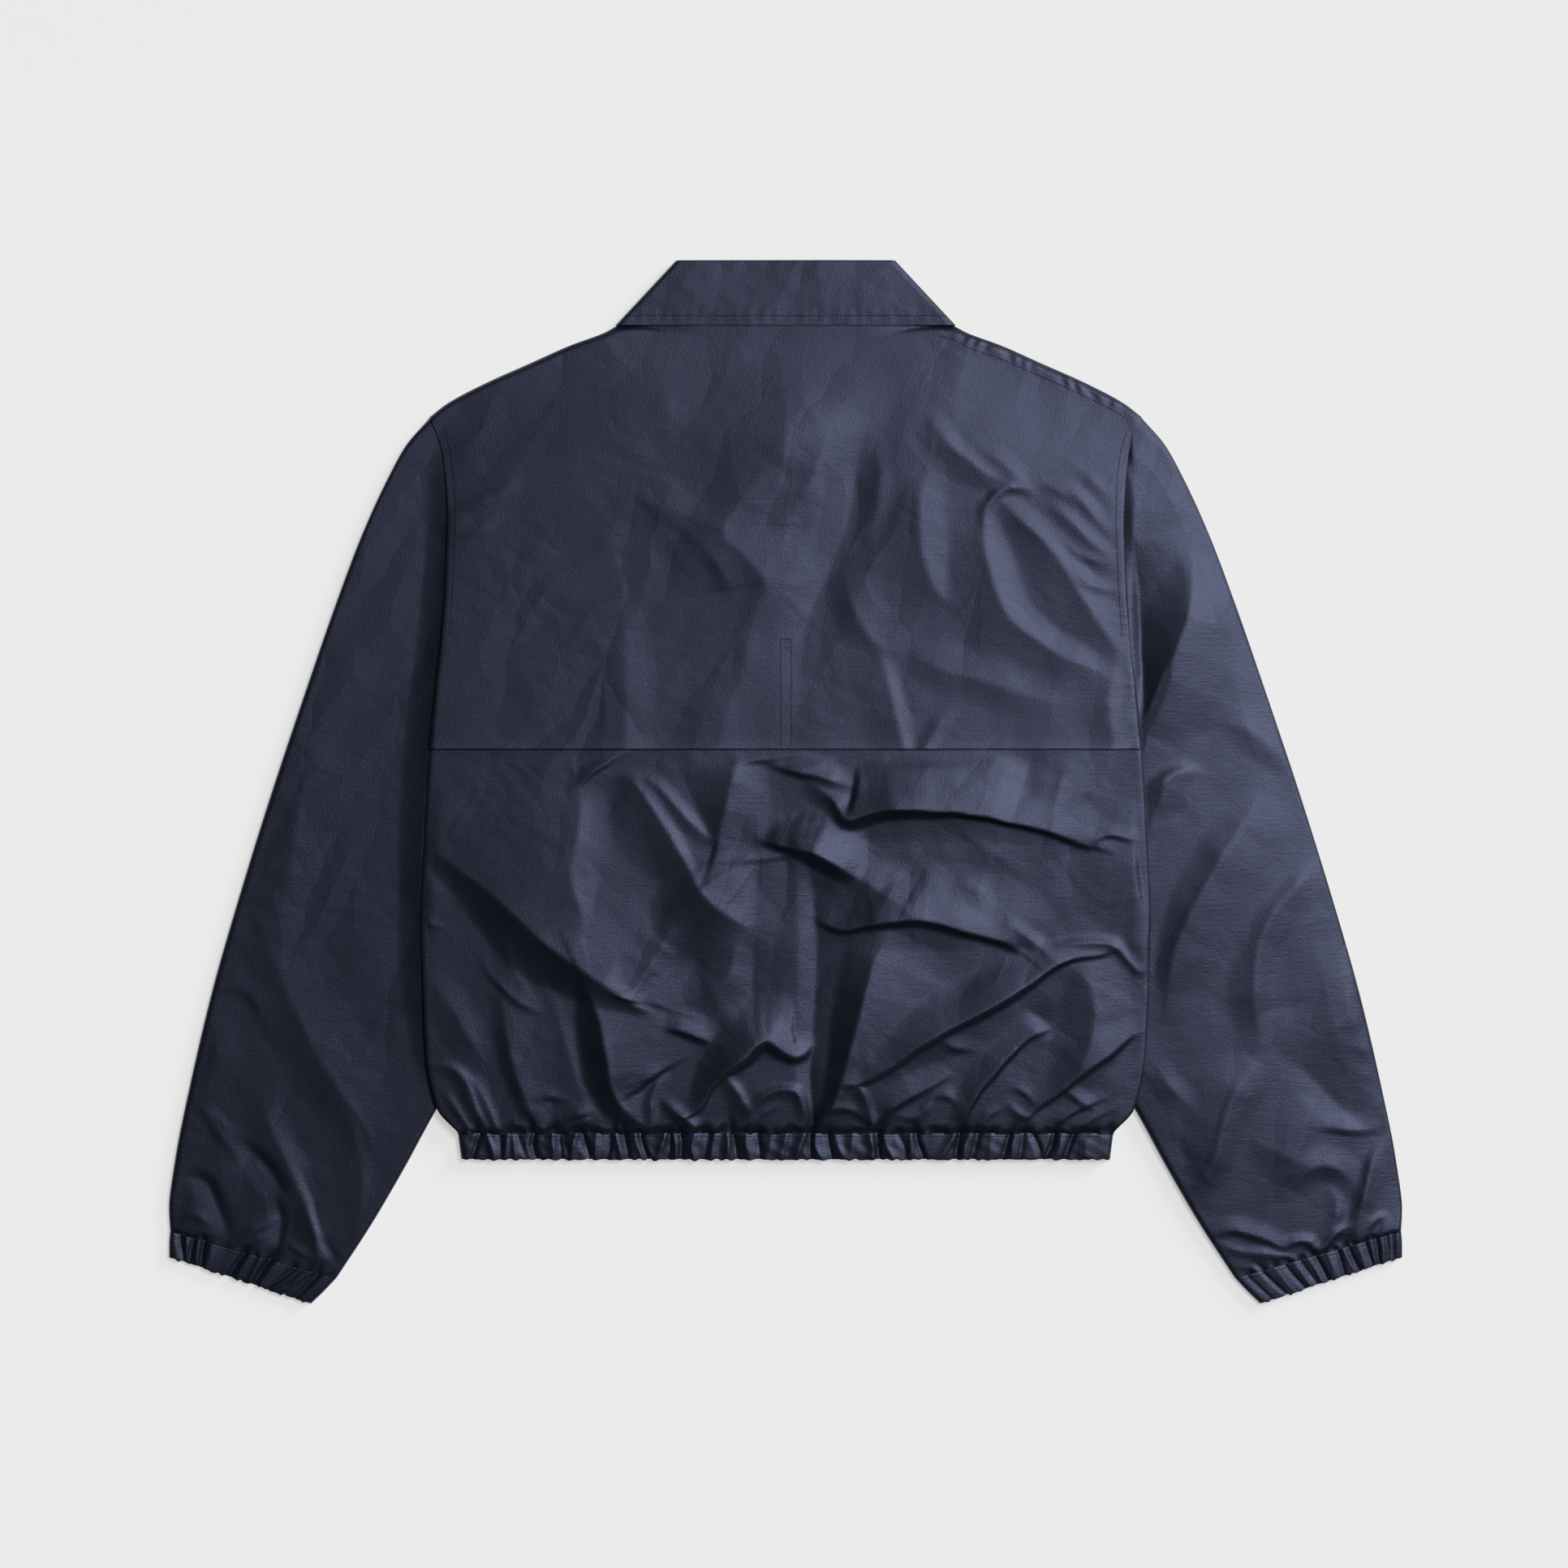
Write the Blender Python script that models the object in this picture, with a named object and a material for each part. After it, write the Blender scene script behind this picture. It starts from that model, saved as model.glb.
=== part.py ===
"""Blouson jacket lying flat on its front, back uppermost.

Each cut and sewn piece is one thin-walled solid: back yoke, back body, two fronts, two
sleeve tubes, two elastic cuffs, an elastic hem band, a turned-down collar and its stand.
Sizes are in millimetres and become metres where the points are made. X runs across the
back to the wearer's right, Y from hem to collar, Z up from the table it lies on.
"""

import math
from collections import namedtuple

import bmesh
import bpy
from mathutils import Vector

MM = 0.001

# Cloth and seams
WALL = 1.3
BAND_WALL = 1.5
SEAM_GAP = 0.3
LAYER = WALL + SEAM_GAP

# Heights of the cloth over the table
TUCKED_SLEEVE_TOP = 3.2
TUCK_LIFT = TUCKED_SLEEVE_TOP + SEAM_GAP
BODY_EDGE_Z = TUCK_LIFT + LAYER
BACK_Z = 9.2
YOKE_Z = BACK_Z + LAYER
ARMHOLE_EDGE_Z = 5.0
ARMHOLE_SLEEVE_TOP = 5.2
SLEEVE_TOP = 9.6
SLEEVE_END_TOP = 6.2
HEM_SEAM_Z = 4.2

# Lengths along the body
HEM_SEAM_Y = -258.7
YOKE_EDGE_Y = 24.5
BACK_TOP_Y = 104.0
SHOULDER_TIP_Y = 269.5
SHOULDER_TIP_X = 263.0

# Front overlap
FLY = 15.0
FLY_LIFT = LAYER
FLY_RAMP_START = 23.0
FLY_RAMP_END = 45.0

# Hem band
HEM_TOP_Y = HEM_SEAM_Y - SEAM_GAP
HEM_BOTTOM_Y = -278.6
HEM_TOP_HALF = 242.0
HEM_BOTTOM_HALF = 239.5
HEM_HEIGHT = 6.9
HEM_WAVE = 1.7
HEM_GATHERS = 40

# Cuffs
CUFF_HEIGHT = 5.3
CUFF_WAVE = 1.5
CUFF_GATHERS = 11

# Collar
COLLAR_TOP_Z = 6.9
COLLAR_ROLL_Y = 383.75
COLLAR_EDGE_Y = 337.0
COLLAR_ROLL_HALF = 82.0
COLLAR_EDGE_HALF = 125.6
STAND_SEAM_Y = 344.9
STAND_SEAM_HALF = 97.0

CLOTH_COLOUR = (0.026, 0.029, 0.052, 1.0)
CLOTH_ROUGHNESS = 0.5

# Half-widths of the back and of the fronts at each height up the side and armhole
Side = namedtuple("Side", "y back front")
SIDES = (
    Side(-258.7, 241.5, 240.5),
    Side(-241.0, 257.0, 256.0),
    Side(-202.0, 265.2, 264.2),
    Side(-142.0, 268.0, 267.0),
    Side(-100.0, 269.0, 268.0),
    Side(-52.0, 267.0, 266.0),
    Side(24.5, 262.6, 252.5),
    Side(75.0, 257.5, 248.5),
    Side(104.0, 254.0, 248.4),
    Side(130.0, 252.2, 252.2),
    Side(164.0, 250.5, 250.5),
    Side(194.0, 249.5, 249.5),
    Side(218.0, 250.3, 250.3),
    Side(240.0, 252.5, 252.5),
    Side(254.0, 256.0, 256.0),
    Side(269.5, 263.0, 263.0),
)

# Neck and shoulder edge of the back yoke and of the fronts, outwards from the centre
Top = namedtuple("Top", "x back front")
TOPS = (
    Top(0.0, 344.5, 268.0),
    Top(18.0, 344.5, 269.2),
    Top(38.0, 344.4, 274.5),
    Top(56.0, 344.3, 284.5),
    Top(72.0, 344.3, 301.0),
    Top(84.0, 344.2, 320.5),
    Top(92.0, 343.6, 337.0),
    Top(108.0, 339.5, 338.0),
    Top(124.0, 333.5, 332.8),
    Top(160.0, 322.0, 321.4),
    Top(190.0, 308.8, 308.2),
    Top(222.0, 294.5, 293.9),
    Top(250.0, 279.6, 279.0),
    Top(263.0, 269.5, 269.5),
)
FRONT_TOP_X = (-15.0, 18.0, 38.0, 56.0, 72.0, 84.0, 92.0, 108.0, 124.0, 155.0, 190.0, 226.0, 263.0)
FRONT_ROWS = (0.0, 0.0354, 0.10, 0.19, 0.29, 0.40, 0.50, 0.60, 0.67, 0.75, 0.82, 0.88, 0.93, 0.965, 0.985, 1.0)

# Outer and inner fold of a sleeve at stations from the armhole to the cuff seam
Station = namedtuple("Station", "outer_x outer_y inner_x inner_y")
SLEEVE = (
    Station(263.3, 269.5, 254.6, 103.0),
    Station(280.0, 250.0, 252.6, 64.0),
    Station(297.0, 218.0, 243.0, 28.0),
    Station(314.0, 180.0, 233.0, -6.0),
    Station(333.5, 128.0, 222.0, -46.0),
    Station(357.0, 60.0, 216.0, -90.0),
    Station(381.0, -12.0, 217.0, -132.0),
    Station(404.0, -86.0, 224.0, -172.0),
    Station(424.0, -156.0, 238.0, -210.0),
    Station(440.0, -224.0, 258.5, -243.0),
    Station(450.5, -276.0, 282.0, -286.0),
    Station(455.5, -314.0, 306.0, -327.0),
    Station(454.6, -331.6, 331.6, -366.2),
)
CUFF = (
    Station(454.7, -331.95, 331.9, -366.5),
    Station(455.4, -341.5, 340.8, -376.0),
    Station(455.4, -350.8, 350.4, -385.25),
)

# Collar columns along each front: neck seam x, then points on the roll line and free edge
Lapel = namedtuple("Lapel", "neck_x roll_x roll_y edge_x edge_y")
LAPELS = (
    Lapel(92.0, 77.0, 365.0, 118.5, 327.0),
    Lapel(84.0, 72.0, 350.0, 112.0, 318.0),
    Lapel(72.0, 64.0, 334.0, 103.0, 305.0),
    Lapel(56.0, 51.0, 319.0, 93.0, 291.0),
    Lapel(38.0, 36.0, 309.0, 82.0, 275.0),
    Lapel(18.0, 19.0, 302.0, 70.0, 258.0),
    Lapel(0.5, 3.0, 300.0, 58.0, 241.0),
)

# Folds run from (x0, y0) to (x1, y1), bowed to the left by bow, and fall away over a
# width on the left and on the right of that direction; a negative height is a trough
Fold = namedtuple("Fold", "x0 y0 x1 y1 bow height left right")
BACK_FOLDS = (
    Fold(-263.0, -54.0, -110.0, -161.0, -2.0, 6.0, 70.0, 15.0),
    Fold(-143.0, -159.0, -103.0, -258.0, 0.0, 4.5, 45.0, 16.0),
    Fold(-158.0, -142.0, -136.0, -250.0, 4.0, -4.0, 16.0, 24.0),
    Fold(-209.0, -163.0, -179.0, -257.0, 0.0, 3.5, 16.0, 30.0),
    Fold(-257.0, -210.0, -221.0, -259.0, 3.0, 3.0, 18.0, 16.0),
    Fold(-152.0, 2.0, -151.0, -112.0, 0.0, 4.0, 26.0, 50.0),
    Fold(-123.0, 5.0, -70.0, -70.0, 0.0, 4.0, 22.0, 18.0),
    Fold(-99.0, 2.0, -53.0, -44.0, 0.0, 3.5, 18.0, 18.0),
    Fold(-59.0, -61.0, 16.0, -53.0, 0.0, 4.0, 40.0, 20.0),
    Fold(-32.0, -112.0, -53.0, -172.0, 0.0, 3.0, 24.0, 24.0),
    Fold(19.0, -193.0, -74.0, -249.0, -8.0, 3.5, 16.0, 35.0),
    Fold(43.0, -25.0, 254.0, -43.0, 9.0, 5.5, 45.0, 15.0),
    Fold(-11.0, -46.0, 70.0, -88.0, 3.0, 3.5, 30.0, 16.0),
    Fold(28.0, -100.0, 168.0, -120.0, 3.0, 5.0, 32.0, 15.0),
    Fold(46.0, -224.0, 236.0, -125.0, 4.0, 6.5, 50.0, 16.0),
    Fold(115.0, -262.0, 196.0, -180.0, 4.0, 4.0, 24.0, 16.0),
    Fold(176.0, -245.0, 263.0, -184.0, 0.0, 4.0, 24.0, 16.0),
    Fold(55.0, -145.0, 20.0, -243.0, -3.0, -4.0, 20.0, 20.0),
    Fold(16.0, -53.0, 20.0, -166.0, 0.0, -3.0, 30.0, 30.0),
)
YOKE_FOLDS = (
    Fold(49.0, 224.0, 19.0, 108.0, 0.0, -3.0, 40.0, 35.0),
    Fold(100.0, 221.0, 127.0, 130.0, -8.0, 4.0, 22.0, 40.0),
    Fold(146.0, 188.0, 249.0, 82.0, -24.0, 4.5, 20.0, 22.0),
    Fold(157.0, 206.0, 244.0, 137.0, -3.0, 4.0, 20.0, 18.0),
    Fold(103.0, 266.0, 179.0, 214.0, -8.0, 3.0, 20.0, 20.0),
    Fold(-38.0, 318.0, -14.0, 146.0, 0.0, 3.5, 50.0, 60.0),
    Fold(-44.0, 122.0, -47.0, 30.0, 0.0, 2.0, 24.0, 28.0),
    Fold(69.0, 90.0, 91.0, 30.0, 0.0, 2.0, 24.0, 24.0),
)
LEFT_SLEEVE_FOLDS = (
    Fold(-371.0, -142.0, -311.0, -280.0, 4.0, 3.5, 34.0, 34.0),
    Fold(-435.0, -233.0, -374.0, -340.0, 6.0, 3.0, 22.0, 22.0),
    Fold(-375.0, -244.0, -342.0, -340.0, 0.0, 2.5, 20.0, 20.0),
)
RIGHT_SLEEVE_FOLDS = (
    Fold(298.0, 129.0, 284.0, 35.0, 6.0, 3.5, 40.0, 14.0),
    Fold(364.0, -28.0, 295.0, -112.0, 0.0, 3.5, 38.0, 34.0),
    Fold(393.0, -259.0, 432.0, -258.0, 0.0, 2.5, 18.0, 18.0),
    Fold(403.0, -274.0, 364.0, -307.0, 0.0, 2.5, 20.0, 20.0),
)

# Grid lines of the back pieces
BACK_CELLS = 32
BACK_ROWS = (
    -258.7, -250.0, -240.0, -226.0, -208.0, -188.0, -168.0, -148.0, -128.0, -108.0,
    -88.0, -68.0, -48.0, -28.0, -8.0, 10.0,
)
OVERLAP_ROWS = (YOKE_EDGE_Y, 44.0, 64.0, 84.0, BACK_TOP_Y)
YOKE_RISE_ROWS = (0.09, 0.19, 0.29, 0.39, 0.49, 0.59, 0.69, 0.79, 0.88, 0.94, 0.975, 1.0)

# Widths over which an edge rolls down or a height changes
SIDE_ROLL = 38.0
SHOULDER_ROLL = 32.0
NECK_FLAT = 15.0
HEM_ROLL = 34.0
SLEEVE_RISE = 70.0
SLEEVE_CLEAR = 12.0


def smooth(t):
    """Returns 0 below 0, 1 above 1 and an S-curve between."""
    t = min(max(t, 0.0), 1.0)
    return t * t * (3.0 - 2.0 * t)


def roll(t):
    """Returns a quarter round: steep at 0, level from 1 on."""
    t = min(max(t, 0.0), 1.0)
    return math.sqrt(t * (2.0 - t))


def blend(start, end, t):
    """Returns the value a share t of the way from start to end."""
    return start + (end - start) * t


def curve(rows, key, column):
    """Returns a function that runs smoothly, without overshoot, through a table's rows."""
    xs = [getattr(row, key) for row in rows]
    ys = [getattr(row, column) for row in rows]
    steps = [(ys[i + 1] - ys[i]) / (xs[i + 1] - xs[i]) for i in range(len(xs) - 1)]
    slopes = [steps[0]]
    for before, after in zip(steps, steps[1:]):
        level = before * after <= 0.0
        slopes.append(0.0 if level else 2.0 * before * after / (before + after))
    slopes.append(steps[-1])

    def value(x):
        x = min(max(x, xs[0]), xs[-1])
        i = 0
        while i < len(xs) - 2 and x > xs[i + 1]:
            i += 1
        span = xs[i + 1] - xs[i]
        t = (x - xs[i]) / span
        rise = ys[i] * (1 + 2 * t) * (1 - t) ** 2 + ys[i + 1] * t * t * (3 - 2 * t)
        return rise + span * (slopes[i] * t * (1 - t) ** 2 - slopes[i + 1] * t * t * (1 - t))

    return value


back_half = curve(SIDES, "y", "back")
front_half = curve(SIDES, "y", "front")
back_top = curve(TOPS, "x", "back")
front_top = curve(TOPS, "x", "front")


def fold_lift(folds, x, y):
    """Returns how far the folds lift the cloth at a point."""
    lift = 0.0
    for fold in folds:
        along_x = fold.x1 - fold.x0
        along_y = fold.y1 - fold.y0
        length = math.hypot(along_x, along_y)
        share = ((x - fold.x0) * along_x + (y - fold.y0) * along_y) / length ** 2
        aside = ((y - fold.y0) * along_x - (x - fold.x0) * along_y) / length
        aside -= fold.bow * 4.0 * share * (1.0 - share)
        width = fold.left if aside > 0.0 else fold.right
        taper = smooth(share / 0.25 + 0.5) * smooth((1.0 - share) / 0.25 + 0.5)
        lift += fold.height * taper * (1.0 - smooth(abs(aside) / width))
    return lift


def front_z(x, y):
    """Returns the underside of the front cloth, lifted over tucked sleeves and collar leaves."""
    across = abs(x)
    over_sleeve = smooth((across - 150.0) / 50.0)
    over_sleeve *= smooth((105.0 - y) / 47.0) * smooth((y + 257.0) / 17.0)
    over_collar = smooth((y - 170.0) / 30.0) * (1.0 - smooth((across - 150.0) / 40.0))
    return max(TUCK_LIFT * over_sleeve, LAYER * over_collar)


def fly_lift(x, lift):
    """Returns how far the right front's edge is lifted over the left one."""
    return lift * (1.0 - smooth((x - FLY_RAMP_START) / (FLY_RAMP_END - FLY_RAMP_START)))


def back_z(x, y):
    """Returns the underside of the back body."""
    to_side = back_half(y) - abs(x)
    level = blend(BODY_EDGE_Z, BACK_Z, roll(to_side / SIDE_ROLL))
    under_yoke = 1.0 - 0.75 * smooth((y + 4.0) / 24.0)
    level += fold_lift(BACK_FOLDS, x, y) * under_yoke * smooth(to_side / 24.0 + 0.15)
    level = max(level, BODY_EDGE_Z)
    return blend(HEM_SEAM_Z, level, roll((y - HEM_SEAM_Y) / HEM_ROLL))


def yoke_z(x, y, top_y):
    """Returns the underside of the yoke above the back body's top edge."""
    across = abs(x)
    lower = BODY_EDGE_Z + LAYER
    edge = blend(lower, ARMHOLE_EDGE_Z, smooth((y - BACK_TOP_Y) / 36.0))
    level = YOKE_Z + fold_lift(YOKE_FOLDS, x, y)
    side = blend(edge, level, roll((back_half(y) - across) / SIDE_ROLL))
    neck = 1.0 - smooth((across - 104.0) / 24.0)
    top_edge = blend(front_z(x, front_top(across)) + LAYER, COLLAR_TOP_Z - WALL - LAYER, neck)
    from_top = top_y - y - NECK_FLAT * neck
    return min(side, blend(top_edge, level, roll(from_top / SHOULDER_ROLL)))


def sleeve_top(x, y, folds, end_share):
    """Returns the upper face of a sleeve over the table."""
    beyond = abs(x) - back_half(y)
    start = blend(TUCKED_SLEEVE_TOP, ARMHOLE_SLEEVE_TOP, smooth((y - 70.0) / 50.0))
    level = SLEEVE_TOP + fold_lift(folds, x, y)
    height = blend(start, level, smooth((beyond - SLEEVE_CLEAR) / SLEEVE_RISE))
    return blend(height, SLEEVE_END_TOP, smooth((end_share - 0.8) / 0.2))


def gather_phase(along, count):
    """Returns the count of gathers passed at a share of the way along, unevenly spaced."""
    swing = 0.42 * math.sin(along * count * 0.41 + 1.0) + 0.26 * math.sin(along * count * 0.93)
    return along * count + swing


def gather_wave(along, count):
    """Returns a gather's height, from -1 in a trough to 1 on a crest."""
    strength = 0.72 + 0.28 * math.sin(along * count * 0.57 + 2.0)
    return strength * math.cos(2.0 * math.pi * gather_phase(along, count))


def gather_columns(count, margin):
    """Returns shares along a band at each gather's crest, flanks and trough."""
    found = []
    for quarter in range(-4, 4 * count + 8):
        low, high = -0.2, 1.2
        for _ in range(40):
            middle = 0.5 * (low + high)
            if gather_phase(middle, count) < quarter / 4.0:
                low = middle
            else:
                high = middle
        if margin < low < 1.0 - margin:
            found.append(low)
    return found


def shell(name, outer, inner, wraps):
    """Makes one solid between two grids of points.

    Args:
        name: node name.
        outer: rows of points on one face of the cloth.
        inner: the same rows on its other face.
        wraps: whether each row closes on itself, as round a tube.
    """
    made = bmesh.new()
    faces = []
    for grid in (outer, inner):
        faces.append([[made.verts.new(Vector(point) * MM) for point in row] for row in grid])
    columns = len(outer[0])
    last = columns if wraps else columns - 1
    for row in range(len(outer) - 1):
        for column in range(last):
            beside = (column + 1) % columns
            corners = ((row, column), (row, beside), (row + 1, beside), (row + 1, column))
            a, b, c, d = (Vector(outer[i][j]) for i, j in corners)
            if (a - c).length <= (b - d).length:
                halves = ((0, 1, 2), (0, 2, 3))
            else:
                halves = ((0, 1, 3), (1, 2, 3))
            for side in (0, 1):
                for half in halves:
                    made.faces.new([faces[side][corners[k][0]][corners[k][1]] for k in half]).smooth = True
    for row in (0, len(outer) - 1):
        for column in range(last):
            beside = (column + 1) % columns
            rim = (faces[0][row][column], faces[0][row][beside], faces[1][row][beside], faces[1][row][column])
            made.faces.new(rim)
    if not wraps:
        for column in (0, columns - 1):
            for row in range(len(outer) - 1):
                rim = (faces[0][row][column], faces[0][row + 1][column])
                made.faces.new(rim + (faces[1][row + 1][column], faces[1][row][column]))
    bmesh.ops.recalc_face_normals(made, faces=made.faces)
    mesh = bpy.data.meshes.new(name)
    made.to_mesh(mesh)
    made.free()
    cloth = bpy.data.materials.new(name + "_cloth")
    cloth.use_nodes = True
    shader = cloth.node_tree.nodes["Principled BSDF"]
    shader.inputs["Base Color"].default_value = CLOTH_COLOUR
    shader.inputs["Roughness"].default_value = CLOTH_ROUGHNESS
    mesh.materials.append(cloth)
    bpy.context.scene.collection.objects.link(bpy.data.objects.new(name, mesh))


def lifted(rows, height):
    """Returns rows of points moved up by a height."""
    return [[(x, y, z + height) for x, y, z in row] for row in rows]


def back_columns():
    """Returns shares from the left side to the right, with a closer column at each edge."""
    even = [2.0 * i / BACK_CELLS - 1.0 for i in range(BACK_CELLS + 1)]
    near = 1.0 - 0.5 / BACK_CELLS
    return [even[0], -near] + even[1:-1] + [near, even[-1]]


def make_back():
    """Makes the back body, and the yoke from its points where it lies on it."""
    columns = back_columns()
    body = []
    for y in BACK_ROWS + OVERLAP_ROWS:
        body.append([(u * back_half(y), y, back_z(u * back_half(y), y)) for u in columns])
    shell("back_body", lifted(body, WALL), body, False)
    yoke = []
    for row in body[len(BACK_ROWS):]:
        fade = smooth((row[0][1] - YOKE_EDGE_Y) / 50.0)
        lifts = [fade * max(fold_lift(YOKE_FOLDS, x, y), 0.0) for x, y, z in row]
        yoke.append([(x, y, z + LAYER + lift) for (x, y, z), lift in zip(row, lifts)])
    for share in YOKE_RISE_ROWS:
        side_y = blend(BACK_TOP_Y, SHOULDER_TIP_Y, share)
        row = []
        for u in columns:
            x = u * back_half(side_y)
            top_y = back_top(abs(u) * SHOULDER_TIP_X)
            y = blend(BACK_TOP_Y, top_y, share)
            row.append((x, y, yoke_z(x, y, top_y)))
        yoke.append(row)
    shell("back_yoke", lifted(yoke, WALL), yoke, False)


def make_front(name, side, lift):
    """Makes one front.

    Args:
        name: node name.
        side: -1 for the wearer's left, 1 for the right.
        lift: how far its centre edge is lifted over the other front.
    """
    rows = []
    for share in FRONT_ROWS:
        side_y = blend(HEM_SEAM_Y, SHOULDER_TIP_Y, share)
        row = []
        for top_x in FRONT_TOP_X:
            u = (top_x + FLY) / (SHOULDER_TIP_X + FLY)
            x = blend(-FLY, front_half(side_y), u)
            y = blend(HEM_SEAM_Y, front_top(abs(top_x)), share)
            row.append((side * x, y, front_z(x, y) + fly_lift(x, lift)))
        rows.append(row)
    shell(name, lifted(rows, WALL), rows, False)


def tube_point(outer, inner, across, height, upper, wall, inset):
    """Returns a point of a flattened tube's section.

    Args:
        outer: place of the section's outer fold.
        inner: place of its inner fold.
        across: share of the way from the outer fold to the inner one.
        height: full height of the section there.
        upper: whether the point is on the upper half.
        wall: wall of the cloth.
        inset: 0 on the outside face, 1 on the inside face.
    """
    width = (Vector(outer) - Vector(inner)).length
    margin = inset * wall / width
    share = blend(margin, 1.0 - margin, across)
    place = Vector(outer).lerp(Vector(inner), share)
    clear = height - 2.0 * wall * inset
    to_fold = min(across, 1.0 - across) * width * (1.0 - 2.0 * margin)
    reach = clear * (1.2 if upper else 0.6)
    half = 0.5 * clear * roll(to_fold / reach)
    middle = 0.5 * height
    return (place.x, place.y, middle + half if upper else middle - half)


SLEEVE_UPPER = (0.0, 0.012, 0.045, 0.10, 0.18, 0.26, 0.34, 0.42, 0.50, 0.58, 0.66, 0.74, 0.82, 0.90, 0.96, 0.99)
SLEEVE_LOWER = (1.0, 0.99, 0.95, 0.80, 0.60, 0.40, 0.20, 0.05, 0.012)


def make_sleeve(name, side, folds):
    """Makes one sleeve as a tube through its stations, the first along the armhole."""
    loop = [(u, True) for u in SLEEVE_UPPER] + [(u, False) for u in SLEEVE_LOWER]
    first = SLEEVE[0]
    faces = ([], [])
    for index, station in enumerate(SLEEVE):
        outer = (station.outer_x, station.outer_y)
        inner = (station.inner_x, station.inner_y)
        hug = 1.0 if index == 0 else 0.35 if index == 1 else 0.0
        for inset in (0, 1):
            ring = []
            for across, upper in loop:
                seam_y = blend(first.outer_y, first.inner_y, across)
                seam_x = max(back_half(seam_y), front_half(seam_y)) + SEAM_GAP
                bend = hug * (seam_x - blend(first.outer_x, first.inner_x, across))
                flat_x = blend(station.outer_x, station.inner_x, across)
                flat_y = blend(station.outer_y, station.inner_y, across)
                end_share = index / (len(SLEEVE) - 1.0)
                height = sleeve_top(side * (flat_x + bend), flat_y, folds, end_share)
                x, y, z = tube_point(outer, inner, across, height, upper, WALL, inset)
                ring.append((side * (x + bend), y, z))
            faces[inset].append(ring)
    shell(name, faces[0], faces[1], True)


def make_cuff(name, side, gathers):
    """Makes one elastic cuff: a flattened ring, gathered above and flat below."""
    upper = [0.0, 0.015] + gather_columns(gathers, 0.03) + [0.985]
    lower = (1.0, 0.985, 0.93, 0.70, 0.50, 0.30, 0.07, 0.015)
    loop = [(u, True) for u in upper] + [(u, False) for u in lower]
    faces = ([], [])
    for station in CUFF:
        outer = (station.outer_x, station.outer_y)
        inner = (station.inner_x, station.inner_y)
        for inset in (0, 1):
            ring = []
            for across, above in loop:
                height = CUFF_HEIGHT + CUFF_WAVE * gather_wave(across, gathers)
                x, y, z = tube_point(outer, inner, across, height, above, BAND_WALL, inset)
                ring.append((side * x, y, z))
            faces[inset].append(ring)
    shell(name, faces[0], faces[1], True)


def make_hem_band():
    """Makes the elastic hem band, round from the right front's edge to the left front's."""
    under = (0.08, 0.25, 0.45, 0.65, 0.83, 0.90, 0.94)
    near = (0.975, 0.99, 0.997)
    gathers = gather_columns(HEM_GATHERS, 0.012)
    start = [0.5 - 0.5 * FLY / HEM_TOP_HALF] + [0.5 + 0.5 * (1.0 - u) for u in reversed(under)]
    path = [(a, False) for a in start] + [(a, False) for a in near] + [(1.0, True)]
    path += [(a, True) for a in reversed(near)] + [(a, True) for a in reversed(gathers) if 0.03 < a < 0.97]
    path += [(1.0 - a, True) for a in near] + [(0.0, True)] + [(1.0 - a, False) for a in reversed(near)]
    path += [(0.5 * u, False) for u in under] + [(0.5 + 0.5 * FLY / HEM_TOP_HALF, False)]
    right_end = len(start) + len(near)
    faces = ([], [])
    for share in (0.0, 0.5, 1.0):
        half = blend(HEM_TOP_HALF, HEM_BOTTOM_HALF, share)
        y = blend(HEM_TOP_Y, HEM_BOTTOM_Y, share)
        for inset in (0, 1):
            row = []
            for index, (across, above) in enumerate(path):
                height = HEM_HEIGHT + HEM_WAVE * gather_wave(across, HEM_GATHERS)
                x, y, z = tube_point((-half, y), (half, y), across, height, above, BAND_WALL, inset)
                if index < right_end:
                    z += fly_lift(x, BAND_WALL + SEAM_GAP)
                row.append((x, y, z))
            faces[inset].append(row)
    shell("hem_band", faces[0], faces[1], False)


def collar_columns():
    """Returns the collar's columns from the left front end round the back to the right one.

    Each is its points at neck seam, roll line and free edge, its turn from the back (0)
    over the side fold to the front (pi), and its side.
    """
    half_top = 0.5 * COLLAR_TOP_Z
    neck_side = Vector((STAND_SEAM_HALF - half_top, STAND_SEAM_Y))
    roll_side = Vector((COLLAR_ROLL_HALF - half_top, COLLAR_ROLL_Y))
    edge_side = Vector((COLLAR_EDGE_HALF - half_top, COLLAR_EDGE_Y))
    front = []
    for lapel in LAPELS:
        neck = Vector((lapel.neck_x, front_top(lapel.neck_x) + 2.0 * SEAM_GAP + 0.8))
        points = (neck, Vector((lapel.roll_x, lapel.roll_y)), Vector((lapel.edge_x, lapel.edge_y)))
        front.append((points, math.pi))
    side = [((neck_side, roll_side, edge_side), math.pi * turn / 5.0) for turn in (1, 2, 3, 4, 5)]
    half_back = []
    for share in (0.25, 0.5, 0.75, 1.0):
        points = [Vector((point.x * share, point.y)) for point in (neck_side, roll_side, edge_side)]
        half_back.append((tuple(points), 0.0))
    right = half_back + side + front
    centre = tuple(Vector((0.0, point.y)) for point in (neck_side, roll_side, edge_side))
    columns = [(points, turn, -1.0) for points, turn in reversed(right)]
    return columns + [(centre, 0.0, 1.0)] + [(points, turn, 1.0) for points, turn in right]


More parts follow.
